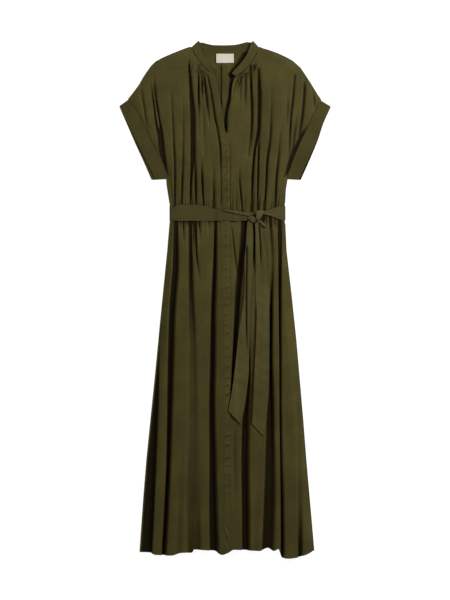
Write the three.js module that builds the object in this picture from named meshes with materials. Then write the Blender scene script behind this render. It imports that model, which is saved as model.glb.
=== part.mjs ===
// A long shirt dress laid flat on its back, with a tie belt, a band collar and turned short sleeves.
// Millimetres. +Y runs toward the neck, +X to the right as seen from above, +Z up off the surface.
// "Right" in a piece's name is the wearer's right, which lies at -X.
import * as THREE from "three";
import { mergeVertices } from "three/addons/utils/BufferGeometryUtils.js";

// Driving sizes
const CLOTH = 1.2; // wall of a single layer
const BACK = 1.4; // wall of the back panels, which lie on the surface
const BAND = 2.0; // wall of the collar band, two layers and a stiffener
const CUFF = 1.6; // wall of a cuff, two layers
const BELT = 1.5; // wall of the belt
const SEAM = 0.3; // space left between neighbouring pieces
const ROLL = 30; // how far from a side the front rises to its full height
const WAIST = 226; // level of the waist seam
const YOKE_SEAM = 613; // level of the seam between the yokes and the fronts
const COLLAR_END = 588; // level where the right front's edge leaves the collar
const HEM = -652; // level of the lowest row of points, which follows the hem line
const BELT_LOW = 205; // lower edge of the belt
const BELT_HIGH = 247; // upper edge of the belt at its widest
const LAP = 1.6; // how far the right front is lifted over the left front
const PLACKET = 1.2; // wall of the placket strip
const FOLD_REACH = 1.4; // half widths from a fold's line to its shoulders
const STEEPEST = 2.4; // most that a sloping wall is thickened upright
const LEAST_WALL = 0.9; // least upright thickness where a fold touches the back
const COLUMN_SPACE = 1.6; // least distance between neighbouring columns of points
const COLUMN_STEP = 15; // a wider stretch between columns gets another column

// Side of the bodice: shoulder line, cuff seam, then the body down to the waist
const rightSide = [
  { y: 656, x: -86 }, { y: 647, x: -111 }, { y: 637, x: -136 }, { y: 626, x: -161 },
  { y: 616, x: -179 }, { y: 605, x: -191 }, { y: 591, x: -201 }, { y: 576, x: -211 },
  { y: 556, x: -223 }, { y: 536, x: -236 }, { y: 519, x: -246 }, { y: 484, x: -223 },
  { y: 459, x: -211 }, { y: 414, x: -191 }, { y: 370, x: -168 }, { y: 320, x: -151 },
  { y: 300, x: -150 }, { y: 254, x: -142 }, { y: 248, x: -138 }, { y: 203, x: -138 },
  { y: 197, x: -141 }, { y: 129, x: -148 }, { y: -651, x: -220 }, { y: -680, x: -223 },
];
const leftSide = [
  { y: 656, x: 88 }, { y: 648, x: 113 }, { y: 638, x: 137 }, { y: 627, x: 162 },
  { y: 618, x: 180 }, { y: 601, x: 197 }, { y: 581, x: 209 }, { y: 559, x: 224 },
  { y: 534, x: 239 }, { y: 519, x: 249 }, { y: 496, x: 237 }, { y: 459, x: 220 },
  { y: 412, x: 197 }, { y: 372, x: 180 }, { y: 332, x: 166 }, { y: 317, x: 162 },
  { y: 285, x: 157 }, { y: 254, x: 154 }, { y: 248, x: 151 }, { y: 203, x: 151 },
  { y: 197, x: 155 }, { y: 129, x: 159 }, { y: -651, x: 231 }, { y: -680, x: 234 },
];
// How much the open sleeve end stands up at the cuff seam, as a distance from the side
const sleeveOpen = [
  { y: 519, x: 0 }, { y: 484, x: 7 }, { y: 410, x: 8 }, { y: 365, x: 6 }, { y: 320, x: 0 },
];
// Height of the upper face of the front, between its folds
const crest = [
  { y: 655, x: 6 }, { y: 613, x: 8.5 }, { y: 554, x: 11 }, { y: 460, x: 12 }, { y: 400, x: 12 },
  { y: 300, x: 11 }, { y: 270, x: 9.5 }, { y: 248, x: 8.5 }, { y: 203, x: 8.5 }, { y: 174, x: 11 },
  { y: 128, x: 14 }, { y: 55, x: 16 }, { y: -90, x: 18 }, { y: -651, x: 18 },
];
// How far everything is lifted by the back half of the belt, which lies under the back
const beltLift = [
  { y: 262, x: 0 }, { y: 250, x: 1.8 }, { y: 200, x: 1.8 }, { y: 188, x: 0 },
];
// Neck edge of each front: the collar seam, then the edge of the V, then the closed front
const rightEdge = [
  { y: 654, x: -88 }, { y: 635, x: -77 }, { y: 614, x: -61 }, { y: 595, x: -44 },
  { y: COLLAR_END, x: -32 }, { y: 576, x: -23 }, { y: 540, x: -16 }, { y: 479, x: -6 },
  { y: 468, x: -1 }, { y: 437, x: 5 }, { y: 402, x: 12 }, { y: 370, x: 13.5 }, { y: -680, x: 13.5 },
];
const leftEdge = [
  { y: 653, x: 90 }, { y: 631, x: 78 }, { y: 618, x: 70 }, { y: 603, x: 58 }, { y: 590, x: 45 },
  { y: 580, x: 30 }, { y: 575, x: 24 }, { y: 553, x: 19 }, { y: 517, x: 13 }, { y: 493, x: 7 },
  { y: 468, x: -1 }, { y: 430, x: -4 }, { y: 380, x: -6 }, { y: 226, x: -5 }, { y: 0, x: -1 },
  { y: -150, x: 2 }, { y: -680, x: 3 },
];
// Inner line of the placket strip
const placketLine = [
  { y: COLLAR_END, x: -42 }, { y: 545, x: -37 }, { y: 493, x: -27 }, { y: 441, x: -19 },
  { y: 389, x: -13 }, { y: 226, x: -11 }, { y: 100, x: -10 }, { y: 0, x: -7 },
  { y: -200, x: -3 }, { y: -680, x: -3 },
];
// Hem of the front and of the back, by their place across the dress
const frontHem = [
  { x: -220, y: -656 }, { x: -180, y: -661 }, { x: -140, y: -663 }, { x: -112, y: -656 },
  { x: -94, y: -655 }, { x: -80, y: -648 }, { x: -28, y: -651 }, { x: -7, y: -661 },
  { x: 8, y: -656 }, { x: 24, y: -648 }, { x: 90, y: -651 }, { x: 112, y: -644 },
  { x: 128, y: -651 }, { x: 139, y: -646 }, { x: 149, y: -669 }, { x: 166, y: -671 },
  { x: 184, y: -668 }, { x: 205, y: -659 }, { x: 231, y: -651 },
];
const backHem = [
  { x: -223, y: -650 }, { x: -116, y: -650 }, { x: -108, y: -659 }, { x: -86, y: -659 },
  { x: -76, y: -644 }, { x: 100, y: -640 }, { x: 234, y: -645 },
];
// Neck edge of the back, along the seam of the collar band
const backNeck = [
  { x: -112, y: 645 }, { x: -88, y: 652 }, { x: -72, y: 649.8 }, { x: -50, y: 644.5 },
  { x: -30, y: 643.2 }, { x: 30, y: 643.2 }, { x: 52, y: 645 }, { x: 74, y: 649.6 },
  { x: 90, y: 651.5 }, { x: 114, y: 645 },
];

// Folds. Each row is one fold, from the level "from" down to the level "to". Its places across the dress (x),
// its depth (drop) and its half width (half) are given at even steps along it, one number where it stays the same.
const rightBodiceFolds = [
  { from: 585, to: 430, x: [-215, -212, -205], drop: [0, 3.5, 3, 0], half: [5] },
  { from: 600, to: 345, x: [-192, -188, -180, -171, -163, -157], drop: [0, 4, 5, 5, 6, 4], half: [5] },
  { from: 585, to: 455, x: [-183, -176, -166], drop: [0, 4, 0], half: [4], thin: true },
  { from: 560, to: 226, x: [-143, -136, -132, -130, -129, -126], drop: [0, 2, 3, 4, 5, 5], half: [5] },
  { from: 575, to: 226, x: [-109, -109, -109, -111], drop: [0, 2, 3, 5.5], half: [4], thin: true },
  { from: 613, to: 226, x: [-93, -91, -89, -88, -90], drop: [4, 7, 8, 8, 7], half: [5] },
  { from: 405, to: 226, x: [-80, -77, -74], drop: [0, 5, 5], half: [4], thin: true },
  { from: 613, to: 520, x: [-68, -69, -72], drop: [5, 7, 0], half: [4], thin: true },
  { from: 372, to: 226, x: [-62, -58, -49], drop: [0, 6, 5], half: [4.5], thin: true },
  { from: 613, to: 400, x: [-61, -58, -56, -49], drop: [4, 6, 3, 0], half: [3.5], thin: true },
  { from: 597, to: 455, x: [-54, -48, -36], drop: [5, 5, 0], half: [3.5], thin: true },
  { from: 363, to: 226, x: [-33, -28, -24], drop: [0, 2.5, 5], half: [4], thin: true },
  { from: 600, to: 385, x: [-47, -39, -31, -23, -18], drop: [4, 5, 5, 5, 0], half: [3.5], thin: true },
];
const leftBodiceFolds = [
  { from: 576, to: 520, x: [30, 30], drop: [3, 0], half: [3], thin: true },
  { from: 585, to: 520, x: [39, 38], drop: [3, 0], half: [3], thin: true },
  { from: 330, to: 226, x: [42, 40, 47], drop: [0, 3, 5], half: [4.5], thin: true },
  { from: 596, to: 515, x: [51, 50], drop: [3.5, 0], half: [3], thin: true },
  { from: 613, to: 370, x: [66, 65, 68, 71, 64], drop: [5, 8, 4.5, 3, 0], half: [4] },
  { from: 606, to: 226, x: [89, 88, 86, 79, 73, 72], drop: [3, 9, 9, 8, 8, 7], half: [4.5] },
  { from: 430, to: 226, x: [92, 88, 86], drop: [0, 6, 6], half: [4], thin: true },
  { from: 580, to: 226, x: [123, 120, 117, 111, 106, 101], drop: [0, 2, 4, 6.5, 7, 5], half: [5] },
  { from: 450, to: 226, x: [144, 139, 132, 130], drop: [0, 4, 6.5, 5], half: [5] },
  { from: 545, to: 440, x: [163, 161], drop: [0, 2, 0], half: [5], thin: true },
  { from: 590, to: 375, x: [183, 178, 172, 167], drop: [0, 5, 4, 0], half: [5] },
  { from: 590, to: 330, x: [206, 205, 199, 187, 168], drop: [0, 4, 5, 7, 4], half: [5] },
];
const rightSkirtFolds = [
  { from: -105, to: -660, x: [-179, -179, -184, -189, -189], drop: [0, 4, 8, 11, 8], half: [8] },
  {
    from: 226, to: -660, x: [-125, -134, -141, -142, -146, -148, -151, -156],
    drop: [6, 10, 12, 12, 12, 12, 11, 10], half: [7],
  },
  { from: 226, to: 160, x: [-116, -116], drop: [3, 0], half: [3], thin: true },
  { from: -390, to: -660, x: [-119, -121, -124], drop: [0, 3, 3], half: [8], thin: true },
  { from: 226, to: 145, x: [-108, -107], drop: [4, 4, 0], half: [3], thin: true },
  { from: 226, to: 180, x: [-100, -100], drop: [3, 0], half: [2.5], thin: true },
  { from: 226, to: -660, x: [-91, -92, -85, -84, -85, -85], drop: [5, 9, 4, 3.5, 4, 4], half: [4, 6, 9, 11, 11] },
  { from: 226, to: 100, x: [-82, -81], drop: [3, 3, 0], half: [3], thin: true },
  { from: 226, to: 40, x: [-76, -75, -64], drop: [4, 5, 0], half: [4], thin: true },
  { from: 226, to: 140, x: [-68, -62], drop: [4, 3, 0], half: [3.5], thin: true },
  { from: 226, to: 150, x: [-45, -42], drop: [3, 0], half: [4], thin: true },
  {
    from: 226, to: -660, x: [-24, -28, -33, -34, -36, -33, -32, -30],
    drop: [5, 8, 9, 9, 12, 13, 13, 11], half: [5, 6, 6, 7, 8, 8],
  },
];
const leftSkirtFolds = [
  { from: 226, to: -300, x: [52, 43, 32, 26, 21, 20], drop: [5, 6, 9, 9, 9, 0], half: [5] },
  { from: -290, to: -560, x: [30, 23, 24, 30], drop: [0, 4, 3, 0], half: [6], thin: true },
  { from: -60, to: -660, x: [58, 55, 50, 47, 49, 50], drop: [0, 6, 9, 10, 10, 9], half: [7] },
  { from: 226, to: 175, x: [87, 86], drop: [3, 0], half: [3], thin: true },
  { from: -400, to: -660, x: [86, 80, 77], drop: [0, 2.5, 2.5], half: [8], thin: true },
  { from: 226, to: 170, x: [101, 99], drop: [4, 0], half: [3], thin: true },
  { from: 226, to: 185, x: [108, 107], drop: [3, 0], half: [2.5], thin: true },
  {
    from: 226, to: -660, x: [116, 122, 119, 117, 111, 108, 103, 99],
    drop: [5, 5, 9, 9, 8, 9, 10, 11], half: [5, 5, 7, 9, 10],
  },
  { from: 226, to: 170, x: [130, 130], drop: [3, 0], half: [3], thin: true },
  { from: 226, to: -660, x: [140, 141, 141, 142, 144, 145, 148, 146], drop: [6, 9, 9, 8, 7, 8, 9, 10], half: [5] },
  { from: -180, to: -660, x: [176, 191, 193, 193, 195], drop: [0, 3, 4, 5, 8], half: [7] },
];

// Levels of the rows of points
const bodiceLevels = [
  YOKE_SEAM - SEAM, 600, COLLAR_END, 574, 554, 534, 519, 490, 460, 430, 400, 370, 345, 320, 300, 270,
  254, 248, WAIST + SEAM / 2,
];
const skirtLevels = [
  WAIST - SEAM / 2, 203, 197, 186, 174, 152, 128, 98, 55, -10, -90, -180, -270, -360, -450, -540, -610, HEM,
];

// Finishes
const olive = () => new THREE.MeshStandardMaterial({ color: 0x464125, roughness: 0.82, metalness: 0 });
const cream = () => new THREE.MeshStandardMaterial({ color: 0xded8c8, roughness: 0.7, metalness: 0 });

// The value of a table at a level, straight between its rows and level beyond them
function along(table, key, place, value) {
  const falling = table[0][key] > table[table.length - 1][key];
  const rows = falling ? [...table].reverse() : table;
  if (place <= rows[0][key]) return rows[0][value];
  for (let i = 1; i < rows.length; i++) {
    if (place <= rows[i][key]) {
      const share = (place - rows[i - 1][key]) / (rows[i][key] - rows[i - 1][key]);
      return rows[i - 1][value] + share * (rows[i][value] - rows[i - 1][value]);
    }
  }
  return rows[rows.length - 1][value];
}
const atLevel = (table, y) => along(table, "y", y, "x");
const across = (table, x) => along(table, "x", x, "y");

// A list of even steps read at a share from 0 to 1
function evenly(list, share) {
  const place = Math.min(Math.max(share, 0), 1) * (list.length - 1);
  const i = Math.min(Math.floor(place), Math.max(list.length - 2, 0));
  const next = list[Math.min(i + 1, list.length - 1)];
  return list[i] + (place - i) * (next - list[i]);
}

const smooth = (low, high, value) => THREE.MathUtils.smoothstep(value, low, high);

// Height of the front between its folds
function loft(x, y) {
  const base = BACK + SEAM + CLOTH + atLevel(beltLift, y);
  const side = Math.min(x - atLevel(rightSide, y), atLevel(leftSide, y) - x);
  const near = Math.min(Math.max(side + atLevel(sleeveOpen, y), 0) / ROLL, 1);
  return base + (atLevel(crest, y) - base) * Math.sin((near * Math.PI) / 2);
}

// The line of a fold at a level. Past its ends it keeps its share of the panel's width.
function foldPlace(fold, y, left, right) {
  const inside = Math.min(Math.max(y, fold.to), fold.from);
  const x = evenly(fold.x, (fold.from - inside) / (fold.from - fold.to));
  if (inside === y) return x;
  const share = (x - left(inside)) / (right(inside) - left(inside));
  return left(y) + share * (right(y) - left(y));
}

// How far the folds of a panel drop its upper face at a point
function dropAt(folds, x, y) {
  let drop = 0;
  for (const fold of folds) {
    if (y > fold.from || y < fold.to) continue;
    const share = (fold.from - y) / (fold.from - fold.to);
    const offset = (x - evenly(fold.x, share)) / evenly(fold.half, share);
    drop += evenly(fold.drop, share) * Math.exp(-offset * offset);
  }
  return drop;
}

// Columns kept in order and apart between two limits
function inOrder(places, low, high, space) {
  const last = places.length - 1;
  const gap = Math.min(space, (high - low) / (last + 2));
  for (let i = 0; i <= last; i++)
    places[i] = Math.max(places[i], i ? places[i - 1] + gap : low + gap);
  for (let i = last; i >= 0; i--)
    places[i] = Math.min(places[i], i < last ? places[i + 1] - gap : high - gap);
  return places;
}

// The columns of a panel at each level: its folds' lines and shoulders, and one more in each wide stretch
function columnsOf(panel, levels) {
  const rows = levels.map((y) => {
    const row = [];
    for (const fold of panel.folds) {
      const x = foldPlace(fold, y, panel.left, panel.foldLimit);
      const reach = FOLD_REACH * evenly(fold.half, 0.5);
      if (fold.thin) row.push(x);
      else row.push(x - reach, x, x + reach);
    }
    return inOrder(row, panel.left(y), panel.foldLimit(y), COLUMN_SPACE);
  });
  const ends = levels.map((y, r) => [panel.left(y), ...rows[r], panel.foldLimit(y)]);
  const wide = ends[0].map((_, c) => {
    if (c === 0) return false;
    const mean = ends.reduce((sum, row) => sum + row[c] - row[c - 1], 0) / ends.length;
    return mean > COLUMN_STEP;
  });
  return ends.map((row, r) => {
    const full = [];
    row.forEach((x, c) => {
      if (wide[c]) full.push((row[c - 1] + x) / 2);
      full.push(x);
    });
    return [...full, ...panel.trim(levels[r])];
  });
}

// Points of a panel's upper and lower faces
function panelFaces(panel, levels) {
  const upper = columnsOf(panel, levels).map((row, r) =>
    row.map((x) => {
      const y = levels[r] === HEM ? across(frontHem, x) : levels[r];
      const floor = BACK + SEAM + CLOTH + atLevel(beltLift, y);
      return new THREE.Vector3(x, y, Math.max(floor, panel.height(x, y)));
    }),
  );
  const step = 0.5;
  const lower = upper.map((row) =>
    row.map((p) => {
      const slope = (panel.height(p.x + step, p.y) - panel.height(p.x - step, p.y)) / (2 * step);
      const upright = CLOTH * Math.min(Math.hypot(1, slope), STEEPEST);
      const floor = BACK + SEAM + atLevel(beltLift, p.y);
      const z = Math.min(Math.max(p.z - upright, floor), p.z - LEAST_WALL);
      return new THREE.Vector3(p.x, p.y, z);
    }),
  );
  return { upper, lower };
}

// A closed wall between two sheets of points in the same order. A ring joins its last row to its first.
function wall(name, upper, lower, { ring = false, material = olive() } = {}) {
  const rows = upper.length;
  const columns = upper[0].length;
  const points = [...upper.flat(), ...lower.flat()];
  const up = (r, c) => (r % rows) * columns + c;
  const low = (r, c) => rows * columns + up(r, c);
  const index = [];
  const quad = (a, b, c, d) => index.push(a, b, c, a, c, d);
  const strips = ring ? rows : rows - 1;
  const last = columns - 1;
  for (let r = 0; r < strips; r++) {
    for (let c = 0; c < last; c++) {
      quad(up(r, c), up(r + 1, c), up(r + 1, c + 1), up(r, c + 1));
      quad(low(r, c), low(r, c + 1), low(r + 1, c + 1), low(r + 1, c));
    }
    quad(up(r + 1, 0), up(r, 0), low(r, 0), low(r + 1, 0));
    quad(up(r, last), up(r + 1, last), low(r + 1, last), low(r, last));
  }
  if (!ring)
    for (let c = 0; c < last; c++) {
      quad(up(0, c), up(0, c + 1), low(0, c + 1), low(0, c));
      quad(up(rows - 1, c + 1), up(rows - 1, c), low(rows - 1, c), low(rows - 1, c + 1));
    }
  return solid(name, points, index, material);
}

// A named mesh from points and triangles, turned to face out
function solid(name, points, index, material) {
  let volume = 0;
  for (let i = 0; i < index.length; i += 3) {
    const [a, b, c] = [points[index[i]], points[index[i + 1]], points[index[i + 2]]];
    volume += a.dot(new THREE.Vector3().crossVectors(b, c));
  }
  const facing = volume < 0 ? [...index].reverse() : index;
  const geometry = new THREE.BufferGeometry().setFromPoints(points);
  geometry.setIndex(facing);
  geometry.computeVertexNormals();
  const mesh = new THREE.Mesh(geometry, material);
  mesh.name = name;
  return mesh;
}

// A sheet of points moved straight up
const raised = (sheet, by) => sheet.map((row) => row.map((p) => new THREE.Vector3(p.x, p.y, p.z + by)));

// A strip of cloth through stations, each a line from its edge "a" to its edge "b"
function strip(name, stations, thickness, { ring = false, parts = 2 } = {}) {
  const count = stations.length;
  const upper = [];
  const lower = [];
  stations.forEach((station, i) => {
    const before = stations[ring ? (i + count - 1) % count : Math.max(i - 1, 0)];
    const after = stations[ring ? (i + 1) % count : Math.min(i + 1, count - 1)];
    const rowUp = [];
    const rowLow = [];
    for (let k = 0; k <= parts; k++) {
      const pick = (s) => new THREE.Vector3().lerpVectors(s.a, s.b, k / parts);
      const run = pick(after).sub(pick(before));
      const width = new THREE.Vector3().subVectors(station.b, station.a);
      const normal = new THREE.Vector3().crossVectors(run, width).normalize();
      rowUp.push(pick(station).addScaledVector(normal, thickness / 2));
      rowLow.push(pick(station).addScaledVector(normal, -thickness / 2));
    }
    upper.push(rowUp);
    lower.push(rowLow);
  });
  return wall(name, upper, lower, { ring });
}

// Stations of a rounded turn between two layers of a strip, bulging toward "outward"
function turn(from, to, outward, steps) {
  const stations = [];
  for (let i = 1; i < steps; i++) {
    const angle = (Math.PI * i) / steps;
    const edge = (start, end) => {
      const middle = new THREE.Vector3().addVectors(start, end).multiplyScalar(0.5);
      const half = new THREE.Vector3().subVectors(end, start).multiplyScalar(0.5);
      const bulge = outward.clone().multiplyScalar(Math.abs(half.z) * Math.sin(angle));
      return middle.addScaledVector(half, -Math.cos(angle)).add(bulge);
    };
    stations.push({ a: edge(from.a, to.a), b: edge(from.b, to.b) });
  }
  return stations;
}

const point = (x, y, z) => new THREE.Vector3(x, y, z);

// The four fronts
const lapLift = (x, y) => LAP * smooth(atLevel(placketLine, y) - 3, atLevel(placketLine, y), x);
const rightPanel = (folds) => ({
  folds,
  left: (y) => atLevel(rightSide, y),
  foldLimit: (y) => Math.min(atLevel(placketLine, y), atLevel(rightEdge, y) - 4) - 1,
  trim: (y) => {
    const edge = atLevel(rightEdge, y);
    const line = Math.min(atLevel(placketLine, y), edge - 4);
    return [line, (line + edge) / 2, edge];
  },
  height: (x, y) => loft(x, y) - dropAt(folds, x, y) + lapLift(x, y),
});
const leftPanel = (folds) => ({
  folds,
  left: (y) => atLevel(leftEdge, y),
  foldLimit: (y) => atLevel(leftSide, y) - 1,
  trim: (y) => [atLevel(leftSide, y)],
  height: (x, y) => loft(x, y) - dropAt(folds, x, y),
});
const rightBodice = panelFaces(rightPanel(rightBodiceFolds), bodiceLevels);
const leftBodice = panelFaces(leftPanel(leftBodiceFolds), bodiceLevels);
const rightSkirt = panelFaces(rightPanel(rightSkirtFolds), skirtLevels);
const leftSkirt = panelFaces(leftPanel(leftSkirtFolds), skirtLevels);

// The placket strip lies on the last three columns of the right front, from the collar to the hem
function placket() {
  const top = bodiceLevels.indexOf(COLLAR_END);
  const onPanel = [...rightBodice.upper.slice(top), ...rightSkirt.upper.slice(1)].map((row) => row.slice(-3));
  const base = raised(onPanel, SEAM);
  return wall("placket", raised(base, PLACKET), base);
}

// The yokes, between the shoulder line, the collar seam and the fronts
function yoke(name, edges) {
  const levels = [651, 645, 637, 626, YOKE_SEAM];
  const pieces = 6;
  const upper = levels.map((y) => {
    const [left, right] = edges(y);
    return Array.from({ length: pieces + 1 }, (_, c) => {
      const x = left + ((right - left) * c) / pieces;
      return point(x, y, loft(x, y));
    });
  });
  return wall(name, upper, raised(upper, -CLOTH));
}

// The back lies on the surface. Its box pleat stands up a little from the label down to the waist.
const pleat = { left: -9, right: 10, rise: 1.3, top: 613, bottom: 300 };
const backRow = (y) => ({
  left: atLevel(rightSide, y) + SEAM,
  right: atLevel(leftSide, y) - SEAM,
  level: () => y,
});
function backPanel(name, rows, inner) {
  const upper = rows.map((row) => [row.left, ...inner, row.right].map((x) => {
    const y = row.level(x);
    const onPleat = x >= pleat.left && x <= pleat.right && y < pleat.top && y > pleat.bottom;
    return point(x, y, BACK + atLevel(beltLift, y) + (onPleat ? pleat.rise : 0));
  }));
  const lower = upper.map((row) => row.map((p) => point(p.x, p.y, atLevel(beltLift, p.y))));
  return wall(name, upper, lower);
}
function backBodice() {
  const levels = [640, 613.5, 612.5, 576, 536, 519, 484, 459, 414, 370, 320, 300, 290, 262, 250, 248];
  const neck = { left: -112, right: 114, level: (x) => across(backNeck, x) };
  const rows = [neck, ...levels.map(backRow), backRow(WAIST + SEAM / 2)];
  return backPanel("back_bodice", rows, [-88, -72, -50, -30, -9.6, -9, 10, 10.6, 30, 52, 74, 90]);
}
function backSkirt() {
  const levels = [WAIST - SEAM / 2, 203, 200, 188, 129, 0, -150, -300, -450, -600];
  const hem = { ...backRow(HEM), level: (x) => across(backHem, x) };
  return backPanel("back_skirt", [...levels.map(backRow), hem], [-116, -108, -86, -76, -40, 0, 50, 100]);
}

// The collar band: up the right front, round the back of the neck and down the left front
const collarRight = [
  { seamX: -32, seamY: 589, topX: -28, topY: 605 },
  { seamX: -44, seamY: 596, topX: -34.5, topY: 610 },
  { seamX: -61, seamY: 614.5, topX: -44, topY: 622 },
  { seamX: -76, seamY: 635, topX: -57, topY: 639 },
  { seamX: -83, seamY: 648, topX: -65, topY: 655 },
  { seamX: -86, seamY: 653, topX: -67, topY: 667.1 },
];
const collarBack = [
  { seamX: -70, seamY: 650, topX: -57, topY: 666 },
  { seamX: -50, seamY: 645, topX: -44, topY: 662.5 },
  { seamX: -30, seamY: 643.7, topX: -28, topY: 660 },
  { seamX: 0, seamY: 643.5, topX: 0, topY: 659.5 },
  { seamX: 30, seamY: 643.7, topX: 27, topY: 660 },
  { seamX: 52, seamY: 645.5, topX: 42, topY: 663 },
  { seamX: 73, seamY: 650, topX: 58, topY: 667 },
];
const collarLeft = [
  { seamX: 88, seamY: 652.5, topX: 69, topY: 667.1 },
  { seamX: 85, seamY: 646, topX: 65, topY: 654 },
  { seamX: 78, seamY: 632, topX: 57, topY: 637 },
  { seamX: 69.5, seamY: 618, topX: 45, topY: 619 },
  { seamX: 57.5, seamY: 604, topX: 33, topY: 605 },
  { seamX: 44, seamY: 591.5, topX: 24, topY: 596 },
  { seamX: 31, seamY: 582.5, topX: 19, topY: 591 },
];
function collarBand() {
  const lean = 3; // how far the band's free edge stands over its seam
  const front = (row) => {
    const base = loft(row.seamX, row.seamY) + 1.4;
    const width = Math.hypot(row.topX - row.seamX, row.topY - row.seamY);
    const inX = ((row.topX - row.seamX) / width) * 0.9;
    const inY = ((row.topY - row.seamY) / width) * 0.9;
    return { a: point(row.seamX + inX, row.seamY + inY, base), b: point(row.topX, row.topY, base + lean) };
  };
  const back = (row) => ({ a: point(row.seamX, row.seamY, BAND / 2), b: point(row.topX, row.topY, BAND / 2) });
  const right = collarRight.map(front);
  const left = collarLeft.map(front);
  const middle = collarBack.map(back);
  const rightCrease = back(collarRight[collarRight.length - 1]);
  const leftCrease = back(collarLeft[0]);
  const stations = [
    ...right,
    ...turn(right[right.length - 1], rightCrease, point(-0.62, 0.78, 0), 4),
    rightCrease,
    ...middle,
    leftCrease,
    ...turn(leftCrease, left[0], point(0.65, 0.76, 0), 4),
    ...left,
  ];
  return strip("collar_band", stations, BAND);
}

// A cuff is a flattened ring of cloth at the sleeve's end, its back layer a little longer than its front
const cuffRight = [
  { seamX: -247, seamY: 517.5, edgeX: -271, edgeY: 501, swell: 0 },
  { seamX: -222, seamY: 481, edgeX: -250, edgeY: 461, swell: 1.6 },
  { seamX: -196.5, seamY: 425, edgeX: -227, edgeY: 411, swell: 2.2 },
  { seamX: -173.5, seamY: 377, edgeX: -204, edgeY: 363, swell: 1.6 },
  { seamX: -152.5, seamY: 321, edgeX: -183, edgeY: 319, swell: 0 },
];
const cuffLeft = [
  { seamX: 250, seamY: 517.5, edgeX: 271, edgeY: 503, swell: 0 },
  { seamX: 229.5, seamY: 477, edgeX: 255, edgeY: 461, swell: 1.6 },
  { seamX: 203.5, seamY: 423, edgeX: 237, edgeY: 412, swell: 2.2 },
  { seamX: 182.5, seamY: 376, edgeX: 218, edgeY: 367, swell: 1.6 },
  { seamX: 164, seamY: 319, edgeX: 198, edgeY: 318, swell: 0 },
];
function cuff(name, table, side) {
  const seamAway = side * 0.8;
  const backLonger = side * 6;
  const low = CUFF / 2;
  const high = 2 * CUFF + 1;
  const shares = table.map((_, i) => i / (table.length - 1));
  const front = table.map((row) => ({
    a: point(row.seamX + seamAway, row.seamY, high + row.swell),
    b: point(row.edgeX, row.edgeY, high + row.swell / 2),
  }));
  const back = table.map((row, i) => ({
    a: point(row.seamX + seamAway, row.seamY, low),
    b: point(row.edgeX + backLonger * shares[i], row.edgeY, low),
  }));
  const last = table.length - 1;
  const stations = [
    ...front,
    ...turn(front[last], back[last], point(0, -1, 0), 4),
    ...back.reverse(),
    ...turn(back[last], front[0], point(-side * 0.3, 0.95, 0), 4),
  ];
  return strip(name, stations, CUFF, { ring: true });
}

// What lies on the front at a place: the placket strip lifts the belt and the end of a tail
const PLACKET_STACK = LAP + SEAM + PLACKET;
function cover(x, y) {
  const onPlacket = smooth(-28, -14, x) * (1 - smooth(25, 37, x));
  return loft(x, y) + PLACKET_STACK * onPlacket;
}
const OVER = 0.45; // space between a piece and what it lies on
const beltTop = (x) => cover(x, WAIST) + OVER + BELT;

// The belt goes round the waist. Its front is gathered in toward the knot.
const beltFront = [
  { x: -135, high: 241, low: 206 }, { x: -116, high: BELT_HIGH, low: BELT_LOW },
  { x: -77, high: BELT_HIGH, low: BELT_LOW }, { x: -46, high: 243, low: BELT_LOW },
  { x: -29, high: 237, low: BELT_LOW }, { x: -14, high: 235, low: BELT_LOW },
  { x: 25, high: 232, low: BELT_LOW }, { x: 37, high: 230, low: BELT_LOW },
  { x: 62, high: 227, low: 206 }, { x: 85, high: 227, low: 212 },
  { x: 104, high: 229.5, low: 221 }, { x: 112, high: 232.5, low: 220 },
  { x: 130, high: 239, low: 214 }, { x: 149, high: 245, low: 207 },
];
function belt() {
  const front = beltFront.map((row) => {
    const z = beltTop(row.x) - BELT / 2;
    return { a: point(row.x, row.high, z), b: point(row.x, row.low, z) };
  });
  const back = [-138, -70, 0, 75, 151].map((x) => ({
    a: point(x, BELT_HIGH - 2, BELT / 2),
    b: point(x, BELT_LOW + 1, BELT / 2),
  }));
  const edge = (x, z) => ({ a: point(x, BELT_HIGH - 4, z), b: point(x, BELT_LOW + 1, z) });
  const sideTop = loft(-138, WAIST) + OVER + BELT / 2;
  const rightHigh = edge(-138, sideTop);
  const leftHigh = edge(151, sideTop);
  const stations = [
    rightHigh, ...front, leftHigh,
    ...turn(leftHigh, back[4], point(1, 0, 0), 4),
    ...[...back].reverse(),
    ...turn(back[0], rightHigh, point(-1, 0, 0), 4),
  ];
  return strip("belt", stations, BELT, { ring: true });
}

// A small flat piece of the belt through rows from left to right, each with its upper and lower edge
function tape(name, rows, thickness = CLOTH) {
  const base = rows.map((row) => [0, 0.5, 1].map((t) => {
    const y = row.high + (row.low - row.high) * t;
    const z = row.z + (row.crown ?? 0) * Math.sin(Math.PI * t);
    return point(row.x + (row.lean ?? 0) * t, y, z);
  }));
  return wall(name, raised(base, thickness), base);
}

// The upper edge of the belt is turned down over itself on the way to the knot
const beltFold = () => tape("belt_fold", [
  { x: -8, high: 234, low: 232.5 }, { x: 8, high: 233, low: 229 }, { x: 25, high: 231, low: 224.5 },
  { x: 37, high: 229.5, low: 222 }, { x: 61, high: 226, low: 217.5 },
].map((row) => ({ ...row, z: beltTop(row.x) + OVER })));

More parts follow.
